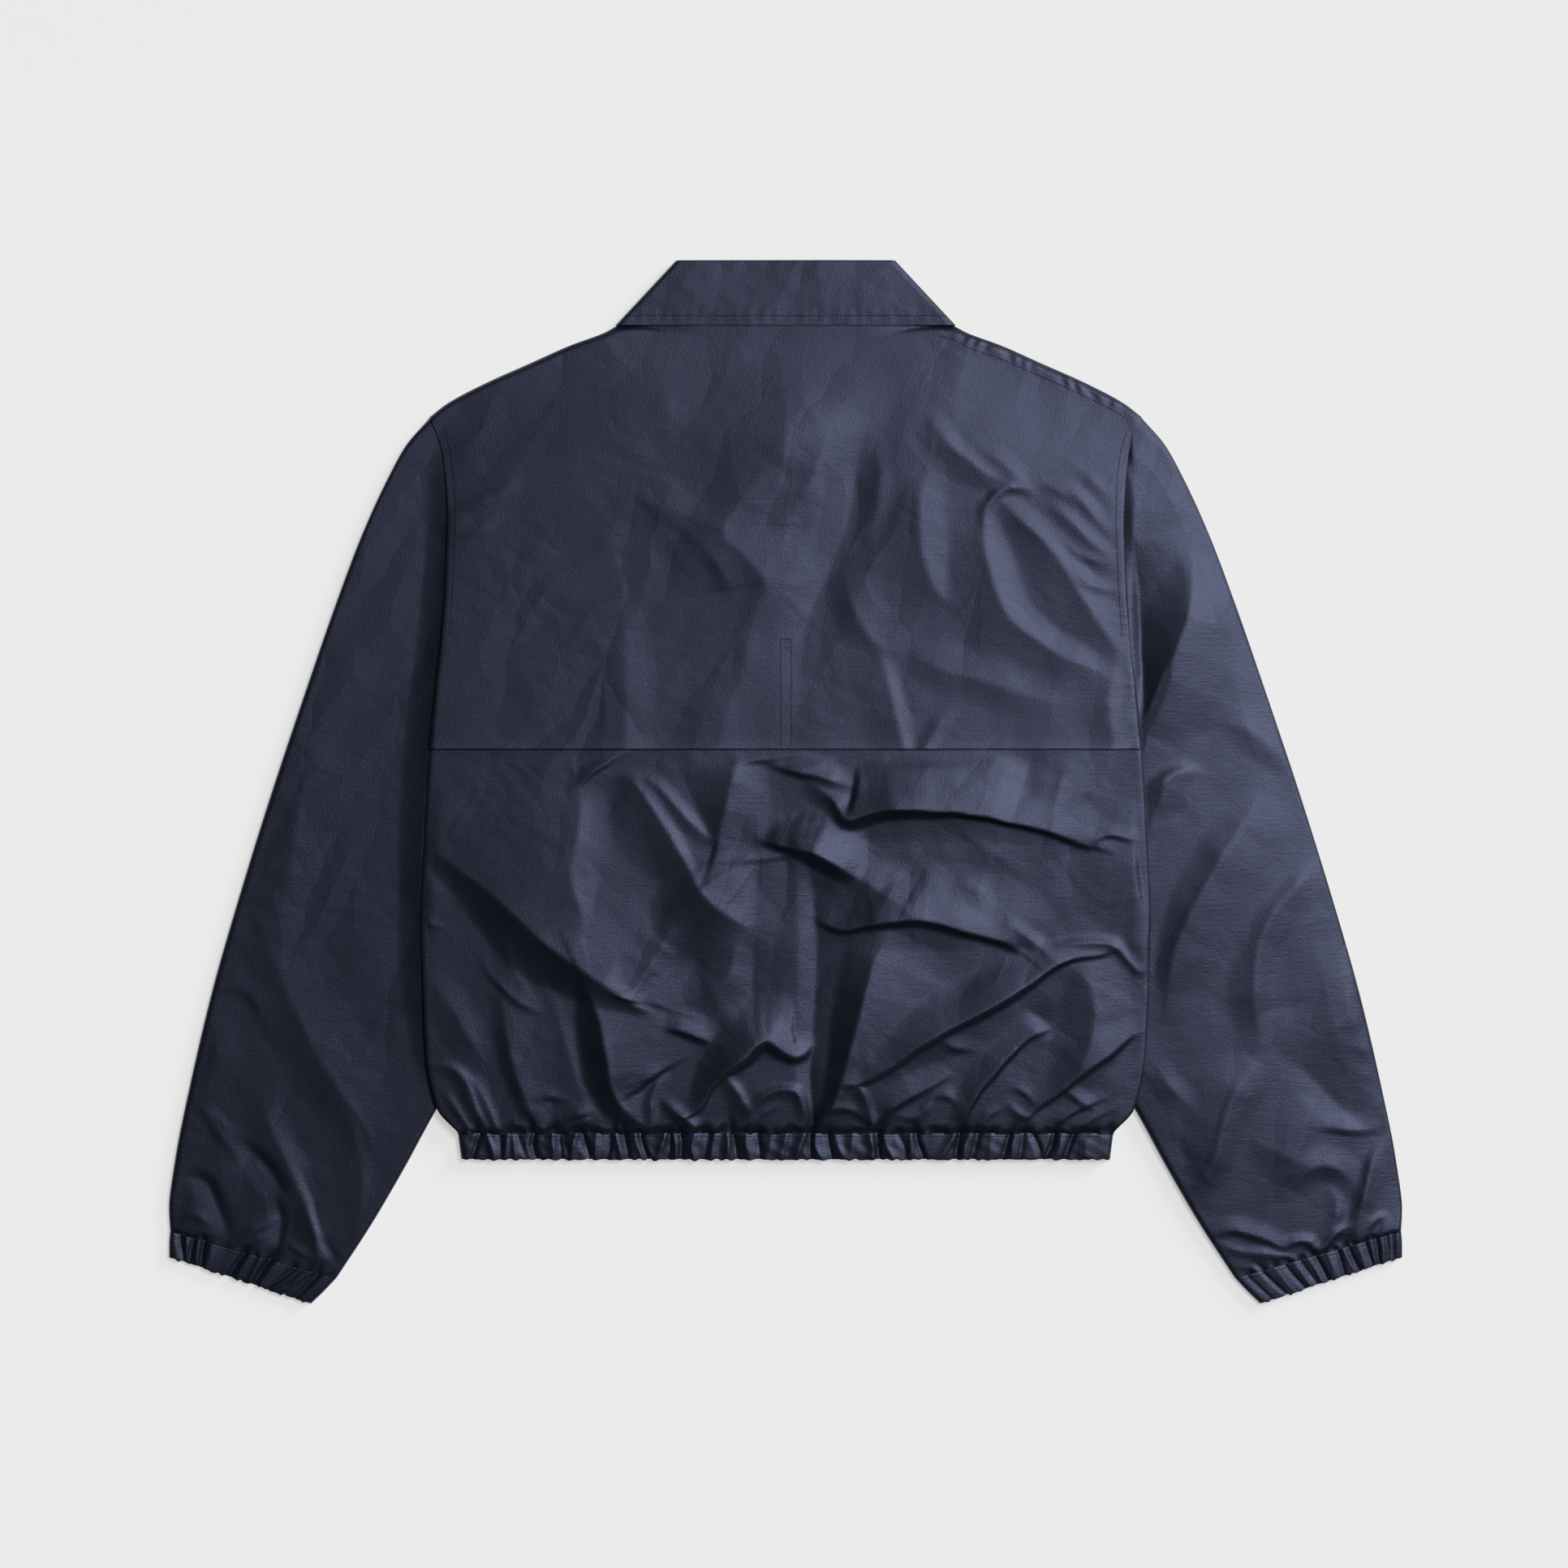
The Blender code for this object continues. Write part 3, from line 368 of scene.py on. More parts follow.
YOKE_CREASES = tuple(Crease(*row) for row in (
    # Soft upright folds left of the centre
    (((-122, 150), (-119, 120), (-118, 80), (-118, 24)), (0.2, 0.8, 1.1, 1.1), (20, 22, 24),
     (40, 50, 50)),
    (((-10, 235), (-46, 186), (-32, 168), (-14, 146), (-22, 126), (-28, 105), (-32, 80), (-42, 55),
     (-50, 26)), (0.3, 1.6, 2.2, 2.6, 1.9, 1.4, 1.2, 1.0, 0.8), (40, 60, 56, 44, 40, 36, 36, 34, 30),
     (30, 44, 50, 56, 50, 50, 46, 40, 36)),
    (((60, 266), (52, 232), (46, 192), (35, 160), (22, 134), (14, 108), (10, 60), (9, 26)),
     (-0.4, -1.6, -1.8, -2.0, -1.5, -0.7, -0.4, -0.3), (30, 46, 50, 50, 44, 36, 30, 26),
     (30, 30, 28, 26, 24, 22, 20, 18)),
    (((-122, 214), (-95, 203), (-62, 190)), (0.2, 0.8, 0.3), (26,), (18,)),
    # Bright top right of the centre
    (((-10, 340), (-4, 310), (0, 280), (0, 252), (-4, 224), (-8, 196)), (2.2, 4.4, 5.0, 4.0, 1.8, 0.2),
     (84, 90, 84, 70, 50, 36), (110, 120, 120, 110, 90, 60)),
    # Fine lines of the pressed cloth at the top
    (((-96, 300), (-88, 282), (-84, 262)), (0.1, 0.5, 0.1), (16,), (22,)),
    (((30, 250), (22, 228), (10, 206), (0, 190)), (0.2, 0.8, 0.8, 0.2), (8, 10, 10, 8), (14,)),
    (((66, 250), (70, 222), (66, 196), (56, 172)), (0.2, 0.7, 0.7, 0.1), (10,), (18,)),
    (((-64, 176), (-50, 160), (-40, 140)), (0.1, 0.7, 0.2), (14,), (10,)),
    (((18, 322), (44, 306), (66, 284)), (0.3, 1.2, 0.3), (26,), (22,)),
    (((62, 332), (86, 316), (104, 296)), (0.3, 1.1, 0.2), (22,), (20,)),
    (((6, 296), (16, 276), (34, 262)), (0.2, 0.9, 0.2), (18,), (18,)),
    # Pulls near the left armhole
    (((-242, 198), (-222, 207), (-202, 217)), (0.3, 0.9, 0.2), (10,), (8,)),
    (((-238, 246), (-226, 258), (-212, 272)), (0.3, 0.8, 0.2), (8,), (8,)),
    (((-240, 182), (-225, 186), (-212, 194)), (0.2, 0.7, 0.2), (8,), (7,)),
    # Folds that fan out from the right shoulder
    (((104, 228), (99, 208), (99, 186), (102, 162), (110, 143), (121, 132)),
     (0.4, 1.6, 1.9, 1.9, 1.4, 0.2), (18, 20, 20, 19, 15, 8), (36, 44, 48, 44, 36, 20)),
    (((104, 270), (118, 252), (133, 239), (150, 226), (164, 219)), (0.2, 1.3, 1.5, 1.3, 0.4),
     (10, 10, 9, 8, 6), (14, 20, 22, 18, 10)),
    (((140, 246), (158, 236), (172, 222), (180, 216)), (0.2, 0.9, 1.0, 0.3), (10, 12, 12, 8),
     (12, 14, 12, 8)),
    (((146, 190), (149, 203), (156, 212), (166, 216.5), (179, 214)), (0.4, 1.3, 1.6, 1.4, 0.3),
     (5, 6, 6, 6, 4), (3, 4, 4.5, 4, 3)),
    (((146, 196), (146, 178), (150, 158), (156, 138), (165, 121), (182, 107), (204, 93), (236, 79)),
     (0.6, 2.2, 2.6, 2.6, 2.4, 2.1, 1.7, 0.4), (14, 18, 20, 20, 18, 16, 16, 10),
     (20, 30, 36, 40, 36, 30, 26, 16)),
    (((158, 207), (172, 194), (188, 180), (202, 163), (214, 143), (228, 122), (243, 98)),
     (0.5, 1.9, 2.3, 2.4, 2.2, 1.9, 0.6), (12, 14, 16, 16, 18, 18, 12), (10, 18, 26, 32, 32, 28, 14)),
    (((195, 206), (210, 192), (222, 180), (236, 168)), (0.3, 1.4, 1.6, 0.6), (10, 12, 12, 8),
     (12, 18, 18, 10)),
    (((203, 218), (216, 210), (226, 197), (236, 186)), (0.3, 1.2, 1.2, 0.4), (8, 9, 9, 7),
     (8, 10, 10, 8)),
    (((186, 223), (200, 215), (213, 205)), (0.2, 0.8, 0.2), (6,), (7,)),
    (((214, 233), (225, 224), (236, 212)), (0.2, 0.9, 0.3), (7,), (8,)),
    (((206, 177), (216, 168), (227, 163), (239, 160)), (0.2, 0.9, 0.9, 0.2), (7,), (6,)),
    (((212, 158), (220, 148), (232, 143), (242, 141)), (0.3, 1.0, 1.0, 0.3), (8,), (6,)),
    # Lower right
    (((88, 98), (112, 84), (142, 76), (170, 66), (200, 58)), (0.3, 1.0, 1.2, 1.0, 0.2), (18, 22, 22, 18),
     (16, 20, 20, 16)),
    (((68, 98), (74, 80), (80, 55), (88, 26)), (0.3, 1.1, 1.3, 1.1), (10, 10, 10, 9), (24, 30, 30, 28)),
    (((122, 52), (112, 40), (102, 24)), (0.2, 0.9, 0.9), (8,), (10,)),
    (((243, 80), (238, 60), (242, 30)), (0.4, 1.2, 0.6), (10,), (30,)),
    (((44, 152), (48, 132), (57, 112), (72, 99)), (0.2, 1.0, 1.2, 0.4), (26, 28, 24, 16),
     (14, 16, 16, 10)),
))

LEFT_SLEEVE_CREASES = tuple(Crease(*row) for row in (
    # Drawn up beside the body's edge
    (((-252, 236), (-249, 190), (-250, 140), (-253, 100), (-261, 36), (-266, -30), (-268, -90),
     (-267, -150), (-262, -200), (-256, -226)), (0.6, 2.2, 3.0, 3.2, 3.2, 3.2, 3.2, 2.8, 2.0, 0.4), (14,),
     (12, 16, 19, 20, 20, 20, 18, 18, 16, 10)),
    # Broad slanting folds down the forearm
    (((-388, -105), (-370, -150), (-352, -190), (-332, -224), (-312, -252), (-298, -280)),
     (0.3, 1.3, 1.7, 1.7, 1.2, 0.2), (36, 42, 42, 38, 30, 20), (24, 28, 30, 28, 22, 14)),
    (((-350, 60), (-356, 10), (-362, -40), (-372, -100)), (0.2, 0.8, 1.0, 0.4), (28, 30, 30), (26,)),
    (((-330, -236), (-318, -262), (-312, -300), (-318, -342)), (0.2, 0.8, 0.9, 0.3), (14, 16, 16),
     (20, 24, 22)),
    (((-424, -174), (-420, -200), (-428, -226)), (0.3, 0.9, 0.3), (20, 22, 18), (10,)),
    (((-420, -152), (-405, -152), (-393, -160), (-385, -176)), (0.2, 0.7, 0.7, 0.2), (16,), (4,)),
    # Narrow ridges and troughs that run to the cuff
    (((-438, -230), (-428, -244), (-416, -261), (-405, -275)), (0.2, 0.6, 0.7, 0.2), (4, 5, 5, 4),
     (4, 5, 6, 5)),
    (((-430, -232), (-420, -246), (-408, -262)), (0.1, 0.5, 0.2), (3,), (4,)),
    (((-402, -266), (-390, -275), (-380, -286), (-373, -298), (-369, -305)),
     (-0.2, -1.4, -1.8, -1.4, -0.2), (6, 6, 5, 5, 5), (10, 16, 18, 16, 8)),
    (((-386, -236), (-377, -262), (-365, -288), (-355, -312), (-347, -338), (-344, -360)),
     (0.3, 1.3, 1.6, 1.5, 1.2, 0.5), (14, 16, 15, 12, 9, 6), (18, 24, 24, 20, 14, 8)),
    (((-358, -284), (-348, -312), (-342, -342)), (-0.1, -0.6, -0.4), (3,), (3,)),
    (((-352, -318), (-345, -335), (-341, -352)), (0.2, 0.7, 0.4), (3,), (4,)),
    (((-338, -340), (-334, -348), (-330, -356)), (-0.3, -1.0, -0.4), (3,), (5,)),
    (((-376, -306), (-372, -322), (-373, -336), (-377, -350)), (-0.2, -1.1, -1.4, -0.9), (4,), (10,)),
    (((-450, -303), (-440, -292), (-427, -296), (-419, -312), (-411, -334)),
     (-0.3, -1.2, -1.6, -1.4, -0.3), (6, 7, 7, 7, 6), (10, 15, 16, 14, 8)),
    (((-446, -326), (-438, -319), (-428, -325)), (0.2, 0.8, 0.3), (6,), (2.6,)),
    (((-404, -339), (-395, -332), (-380, -326)), (0.4, 1.3, 0.4), (8,), (2.6,)),
    (((-398, -346), (-390, -338), (-382, -334)), (0.3, 0.9, 0.2), (4,), (3,)),
    (((-366, -342), (-358, -348), (-350, -352)), (0.3, 0.9, 0.3), (6,), (3,)),
))

RIGHT_SLEEVE_CREASES = tuple(Crease(*row) for row in (
    # The sleeve's broad tilt and the hollow below the armhole
    (((254, 230), (258, 60), (264, -100), (256, -230)), (1.6, 2.0, 2.2, 1.2), (150, 170, 190, 190),
     (20,)),
    (((300, 168), (300, 146), (298, 126), (290, 104), (280, 78), (270, 55), (262, 36)),
     (0.4, 2.6, 4.8, 5.0, 4.6, 3.2, 0.8), (40, 60, 80, 80, 70, 50, 30), (10, 26, 34, 30, 20, 11, 5)),
    (((258, 176), (260, 140), (262, 100), (264, 66), (264, 44)), (-0.6, -2.8, -3.8, -3.0, -0.8),
     (30, 38, 36, 24, 10), (8,)),
    (((256, 224), (257, 200), (259, 176), (262, 156)), (0.4, 1.2, 1.2, 0.3), (34, 36, 34, 24), (12,)),
    (((296, 222), (290, 206), (281, 190)), (0.2, 0.9, 0.2), (14,), (14,)),
    # Slanting folds from the elbow to the body
    (((306, 8), (293, 9), (281, 3), (273, -9), (268, -28)), (0.3, 1.8, 2.4, 2.2, 0.6),
     (24, 30, 30, 24, 14), (4, 6, 9, 12, 12)),
    (((350, -6), (338, -30), (324, -52), (310, -76), (297, -100), (287, -126), (281, -156)),
     (0.3, 2.4, 3.6, 3.8, 3.4, 2.4, 0.6), (40, 48, 50, 48, 44, 36, 26), (14, 20, 22, 22, 18, 14, 8)),
    (((322, 44), (342, 38), (358, 26), (374, 5)), (0.3, 1.6, 1.8, 0.4), (22, 24, 22, 12),
     (16, 18, 16, 8)),
    (((398, -56), (380, -74), (362, -94), (350, -118), (346, -150), (348, -188)),
     (0.3, 1.8, 2.2, 2.4, 2.2, 0.5), (18, 20, 20, 18, 16, 12), (10, 12, 16, 20, 22, 14)),
    (((402, -112), (411, -140), (420, -172), (430, -208)), (0.4, 2.2, 2.8, 0.9), (22, 24, 24, 16),
     (36, 44, 46, 40)),
    # Facets below the elbow
    (((362, -198), (384, -215), (408, -238), (430, -258)), (-0.2, -1.0, -1.3, -0.5), (22, 30, 30, 16),
     (14, 16, 18, 10)),
    (((348, -206), (330, -234), (321, -260), (315, -284), (303, -302)), (0.4, 2.6, 3.2, 2.8, 0.6),
     (18, 20, 20, 18, 12), (22, 30, 32, 26, 14)),
    (((390, -232), (384, -254), (376, -276), (364, -298)), (0.3, 2.0, 2.6, 0.6), (16, 18, 18, 12),
     (30, 38, 38, 24)),
    (((272, -208), (284, -226), (300, -240)), (0.2, 1.2, 0.3), (12,), (14,)),
    (((392, -255.5), (410, -257.5), (430, -258.5)), (0.3, 1.5, 1.0), (14,), (2.4,)),
    (((418, -196), (427, -199), (434, -203)), (0.2, 0.8, 0.2), (6,), (2.4,)),
    (((442, -264), (434, -278), (428, -300), (421, -330)), (0.6, 2.2, 2.6, 1.2), (14, 16, 18, 14),
     (5, 8, 10, 8)),
    (((374, -301), (392, -284), (408, -286), (418, -296)), (0.3, 1.6, 1.8, 0.5), (16,), (12,)),
    # Lips over the cuff
    (((404, -303), (408, -316), (400, -334)), (0.3, 1.4, 0.5), (8,), (10,)),
    (((312, -334), (322, -333), (334, -332), (352, -338), (372, -346)), (0.3, 1.5, 1.8, 1.3, 0.3), (13,),
     (2.4,)),
    (((318, -340), (332, -346), (352, -348), (370, -351), (384, -358)), (0.3, 1.2, 1.3, 1.2, 0.5), (4,),
     (5,)),
    (((366, -344), (376, -340), (386, -340), (392, -348)), (0.4, 1.8, 1.8, 0.4), (8,), (3,)),
    (((388, -348), (397, -344), (406, -333), (416, -327)), (0.4, 1.6, 1.8, 0.6), (4,), (4,)),
    (((426, -337), (433, -325), (441, -321), (440, -332)), (0.3, 1.3, 1.3, 0.3), (4,), (4,)),
    (((332, -358), (348, -360), (366, -364)), (0.3, 1.2, 0.4), (5,), (3,)),
))

# Troughs in the cloth above the hem seam, in X
HEM_GATHERS = tuple(Gather(*row) for row in (
    (-227, 2.2, 14, -3), (-219, 1.2, 9, 4), (-205, 1.4, 12, 3), (-186, 3, 18, -4), (-171, 2.6, 12, 2),
    (-165, 1.8, 10, -3), (-152, 2.6, 9, 3), (-138, 1.2, 8, -4), (-125, 2.2, 12, -3), (-119, 2.4, 16, -2),
    (-107, 2, 10, -4), (-88, 2.4, 9, 5), (-77, 2.8, 10, -2), (-64, 1.8, 8, 4), (-57, 2.2, 10, -3),
    (-40, 2.6, 22, -2), (-31, 2.4, 9, 3), (-22, 1.8, 8, -3), (-9, 1, 8, 2), (4, 1.2, 9, 4),
    (18, 3.2, 20, 3), (31, 1.8, 9, -2), (46, 1.2, 8, 3), (62, 1.8, 14, -4), (68, 3.6, 22, 6),
    (82, 1.4, 8, 5), (96, 3, 12, -2), (115, 1.6, 9, 6), (128, 3.2, 16, 4), (141, 2, 9, -2),
    (152, 1.2, 8, 4), (166, 2.2, 10, 3), (180, 2.4, 9, -4), (198, 3, 12, 3), (213, 2, 8, -3),
    (226, 1.2, 9, 4),
))

# Troughs above each cuff seam, from the outer fold
LEFT_CUFF_GATHERS = tuple(Gather(*row) for row in (
    (4, 1.6, 12, 3), (13, 1.4, 9, -2), (19, 2, 12, 3), (26, 2.6, 16, -2), (44, 0.8, 8, 2),
    (57, 2.6, 14, 3), (66, 1.2, 9, -3), (76, 2.8, 18, 2), (95, 1.4, 8, -4), (106, 1.2, 12, 3),
    (113, 1.8, 16, -3), (121, 1, 9, 2),
))

RIGHT_CUFF_GATHERS = tuple(Gather(*row) for row in (
    (6, 1.4, 9, 3), (12, 1.8, 8, -2), (20, 2.2, 12, 3), (27, 1.8, 9, -3), (36, 2, 14, 4),
    (42, 2.6, 22, -2), (50, 1.8, 10, 3), (58, 1.4, 9, -3), (66, 2.8, 14, 2), (76, 1.8, 9, -3),
    (85, 2.2, 10, 4), (96, 1.4, 9, -2), (105, 2.4, 12, 3), (115, 1.6, 8, -3),
))

# Pinches and ridges of the hem band, in X
HEM_PINCHES = tuple(Pinch(*row) for row in (
    (-225, -229, -232, -2.4, 2.2, 3), (-221, -217, -214, 1.5, 4, 2.2), (-211, -210, -210, -1.4, 3, 3.5),
    (-205, -206, -207, 1.6, 4, 2.2), (-202, -200, -200, 1, 2.5, 3), (-199, -194, -190, -1.2, 3.5, 2.5),
    (-185, -187, -183, -3.2, 3, 3.4), (-171, -171, -171, 1.9, 5.5, 1.8), (-167, -166, -166, -1.8, 2, 2.6),
    (-164, -162, -160, -1.2, 2.4, 3), (-154, -157, -158, 1.8, 4, 2.4), (-150, -147, -143, -2.8, 3.2, 2.4),
    (-139, -140, -140, 1.3, 4.5, 4), (-130, -129, -132, -1.7, 3.5, 2.2), (-126, -123, -121, 1.3, 2.2, 2),
    (-120, -118, -116, -2.8, 2.6, 3.2), (-111, -109, -106, 1.1, 3, 2.6),
    (-107, -105, -101, -2.8, 2.6, 2.4), (-88, -91, -94, 1.7, 4.5, 1.8), (-86, -86, -87, -2, 1.8, 3),
    (-83, -81, -80, 1.5, 2.4, 1.8), (-78, -77, -78, -3, 1.8, 3.4), (-66, -69, -66, 1.6, 4, 2.6),
    (-56, -58, -60, -1, 3, 3), (-52, -54, -55, 1.2, 3.5, 3.5), (-43, -42, -44, 1.7, 5, 1.8),
    (-40, -38, -36, -2.8, 2, 5), (-29, -29, -25, 1.5, 4, 3), (-21, -20, -18, -2, 4, 3),
    (2, -1, -4, 1.5, 6, 2.4), (-10, -12, -14, 0.9, 4, 4), (15, 11, 8, 1.7, 5, 2),
    (18, 18, 18, -2.6, 2.2, 2.4), (22, 21, 27, 1.5, 1.8, 4), (31, 32, 35, -2.4, 3.5, 2.2),
    (36, 38, 43, 1.2, 2, 5), (50, 49, 47, 1, 5, 4), (62, 65, 64, 1.8, 5, 1.8), (67, 68, 69, -3.6, 2, 2.6),
    (72, 74, 80, 1.6, 2, 5), (83, 88, 90, -1.2, 4, 2.4), (93, 93, 92, 1.6, 5, 2),
    (96, 98, 102, -3.4, 2.4, 2.4), (126, 120, 112, 1.4, 5, 3), (128, 127, 126, -3.4, 2.2, 2.4),
    (136, 132, 132, 1.6, 2.2, 4), (142, 140, 137, -2.2, 2.6, 3), (152, 151, 150, 1.1, 7, 7),
    (166, 163, 159, -2.4, 2.6, 2), (169, 167, 166, 1.4, 2, 2.6), (175, 174, 172, -1.8, 2.4, 3),
    (181, 186, 190, -2, 3, 2.6), (198, 196, 191, -3.2, 2.4, 2.6), (204, 202, 198, 1.1, 3.5, 4),
    (213, 209, 205, -2.6, 2.4, 2.6), (226, 222, 220, 1.1, 8, 9), (239, 238, 236, -1.4, 4, 2),
))

# Pinches and ridges of each cuff, from the outer fold
LEFT_CUFF_PINCHES = tuple(Pinch(*row) for row in (
    (3, 5, 6, 1.2, 3, 3), (8, 11, 14, -2, 2.4, 2), (13, 15, 17, 1.2, 2.4, 2), (19, 18, 17, -2.2, 2, 2.4),
    (22, 23, 25, 1.3, 2.2, 2), (26, 27, 28, -3.4, 2, 2.2), (32, 33, 33, 1.2, 4, 12),
    (58, 56, 54, -3.2, 4, 2.2), (62, 61, 60, 1.2, 2.4, 4), (70, 70, 71, 1.3, 3, 3),
    (77, 76, 76, -3.4, 2.6, 2.2), (82, 81, 80, 1.2, 2.6, 7), (97, 92, 84, 1.3, 3, 2.2),
    (101, 96, 88, -1, 2, 3), (108, 102, 94, 1.1, 3, 3), (113, 113, 112, -1.6, 3, 3),
    (119, 118, 116, 0.9, 3, 4),
))

RIGHT_CUFF_PINCHES = tuple(Pinch(*row) for row in (
    (4, 4, 4, 0.6, 2.4, 2.4), (7, 8, 8, -1.2, 2, 2), (12, 12, 13, -1.3, 2.2, 2.2),
    (16, 16, 17, 0.7, 2.2, 2.2), (20, 20, 21, -1.9, 2.2, 2.2), (24, 24, 24, 0.7, 2, 2.4),
    (28, 27, 26, -1.3, 2.2, 2.4), (34, 33, 33, 0.8, 2.4, 2.4), (41, 40, 38, -2, 2.8, 2.4),
    (45, 44, 43, 0.7, 2.4, 3), (49, 50, 52, -1.8, 2.2, 2.4), (57, 58, 59, 0.7, 4, 4),
    (66, 66, 66, -2.2, 2.4, 2.4), (72, 71, 71, 0.6, 2.2, 2.4), (78, 77, 75, -0.9, 2.2, 2.4),
    (83, 82, 82, 0.6, 3, 3), (90, 88, 86, -1.2, 2.4, 2.4), (98, 97, 96, 0.5, 4, 3),
    (107, 105, 103, -1.3, 2.4, 2.2), (118, 117, 116, -0.7, 2.4, 3),
))


# Shape helpers


def smooth(t: np.ndarray) -> np.ndarray:
    """Returns 0 below 0, 1 above 1 and an S-curve between."""
    t = np.clip(t, 0.0, 1.0)
    return t * t * (3.0 - 2.0 * t)


def roll(t: np.ndarray) -> np.ndarray:
    """Returns a quarter round: steep at 0, level from 1 on."""
    t = np.clip(t, 0.0, 1.0)
    return np.sqrt(t * (2.0 - t))


def blend(start: np.ndarray, end: np.ndarray, t: np.ndarray) -> np.ndarray:
    """Returns the value a share t of the way from start to end."""
    return start + (end - start) * t


@dataclass(frozen=True)
class Ramp:
    """A smooth change from 0 to 1: where it starts and how far it runs, backwards if negative."""

    start: float
    run: float

    def __call__(self, place: np.ndarray) -> np.ndarray:
        """Returns the ramp's value at each place."""
        return smooth((place - self.start) / self.run)


# Fades the overlap of the fronts out on the way from the centre
PAST_FLY = Ramp(23.0, 22.0)


@dataclass(frozen=True)
class Ripple:
    """A soft uneven swell: its usual height, usual distance from crest to crest, and seed."""

    size: float
    length: float
    seed: int

    waves = 9
    spread = (0.65, 1.6)

    def __call__(self, x: np.ndarray, y: np.ndarray) -> np.ndarray:
        """Returns the swell's height at each point."""
        chance = np.random.RandomState(self.seed)
        total = np.zeros_like(x)
        for _ in range(self.waves):
            angle = chance.uniform(0.0, math.tau)
            wave = math.tau / (self.length * chance.uniform(*self.spread))
            phase = chance.uniform(0.0, math.tau)
            total += np.sin(wave * (x * math.cos(angle) + y * math.sin(angle)) + phase)
        return total * self.size / math.sqrt(self.waves)


class TableCurve:
    """A curve through a table's rows that doesn't overshoot them."""

    def __init__(self, places: tuple[float, ...], values: tuple[float, ...]) -> None:
        """Fits the curve.

        Args:
            places: where each row stands, rising.
            values: the value at each row.
        """
        self.places = np.array(places, float)
        self.values = np.array(values, float)
        steps = np.diff(self.values) / np.diff(self.places)
        before, after = steps[:-1], steps[1:]
        mean = 2.0 * before * after / np.where(before + after == 0.0, 1.0, before + after)
        inner = np.where(before * after <= 0.0, 0.0, mean)
        self.slopes = np.concatenate([steps[:1], inner, steps[-1:]])

    def __call__(self, place: np.ndarray) -> np.ndarray:
        """Returns the curve's value at each place."""
        place = np.clip(place, self.places[0], self.places[-1])
        i = np.clip(np.searchsorted(self.places, place, "right") - 1, 0, len(self.places) - 2)
        span = self.places[i + 1] - self.places[i]
        t = (place - self.places[i]) / span
        rise = self.values[i] * (1 + 2 * t) * (1 - t) ** 2 + self.values[i + 1] * t * t * (3 - 2 * t)
        return rise + span * (self.slopes[i] * t * (1 - t) ** 2 - self.slopes[i + 1] * t * t * (1 - t))


def columns_of(table: tuple[tuple[float, ...], ...]) -> list[tuple[float, ...]]:
    """Returns a table's columns."""
    return list(zip(*table))


def edge_shares(count: int) -> np.ndarray:
    """Returns shares from -1 to 1 across a panel, close together at its edges."""
    near = np.array(PANEL_STEPS)
    middle = np.linspace(-PANEL_MIDDLE, PANEL_MIDDLE, count - 2 * len(near))
    return np.concatenate([near - 1.0, middle, 1.0 - near[::-1]])


def tube_loop(rings: int, upper_count: int, lower_count: int) -> tuple[np.ndarray, np.ndarray]:
    """Lays rings round a flattened tube, with points close together at its folds.

    Args:
        rings: how many rings.
        upper_count: points on the upper half, apart from those near the folds.
        lower_count: points on the lower half, apart from those near the folds.

    Returns:
        Each point's share of the way from the outer fold to the inner one, and whether it is above.
    """
    near = np.array(TUBE_STEPS)
    top = np.concatenate([near, np.linspace(*TUBE_UPPER, upper_count), 1.0 - near[:0:-1]])
    low = np.concatenate([1.0 - near[:-1], np.linspace(*TUBE_LOWER, lower_count), near[-2:0:-1]])
    loop = np.concatenate([top, low])
    return np.tile(loop, (rings, 1)), np.tile(np.arange(len(loop)) < len(top), (rings, 1))


def tube_face(
    outer: np.ndarray, inner: np.ndarray, across: np.ndarray, upper: np.ndarray, height: np.ndarray
) -> np.ndarray:
    """Gives the outside of a flattened tube.

    Args:
        outer: place of each section's outer fold.
        inner: place of its inner fold.
        across: share of the way from the outer fold to the inner one.
        upper: whether each point is on the upper half.
        height: the section's full height at each point.

    Returns:
        The points.
    """
    width = np.linalg.norm(outer - inner, axis=-1)
    place = outer + (inner - outer) * across[..., None]
    reach = FOLD_ROUND * height
    half = 0.5 * height * roll(np.minimum(across, 1.0 - across) * width / reach)
    z = 0.5 * height + np.where(upper, half, -half)
    return np.concatenate([place, z[..., None]], axis=-1)


class BodyOutline:
    """Side, armhole, shoulder and neck lines that the body panels share."""

    sleeve_lift = 3.5
    sleeve_inside = Ramp(150.0, 50.0)
    sleeve_top = Ramp(105.0, -47.0)
    sleeve_hem = Ramp(-257.0, 17.0)
    collar_lift = 1.6
    collar_low = Ramp(170.0, 30.0)
    collar_side = Ramp(150.0, 40.0)

    def __init__(self) -> None:
        """Fits the lines to their tables."""
        side_y, back, front = columns_of(SIDES)
        self.back_half = TableCurve(side_y, back)
        self.front_half = TableCurve(side_y, front)
        top_x, back_top, front_top = columns_of(TOPS)
        self.back_top = TableCurve(top_x, back_top)
        self.front_top = TableCurve(top_x, front_top)

    @classmethod
    def over_tucks(cls, x: np.ndarray, y: np.ndarray) -> np.ndarray:
        """Returns how far the fronts are lifted over the tucked sleeves and collar leaves."""
        across = np.abs(x)
        sleeve = cls.sleeve_inside(across) * cls.sleeve_top(y) * cls.sleeve_hem(y)
        collar = cls.collar_low(y) * (1.0 - cls.collar_side(across))
        return np.maximum(cls.sleeve_lift * sleeve, cls.collar_lift * collar)


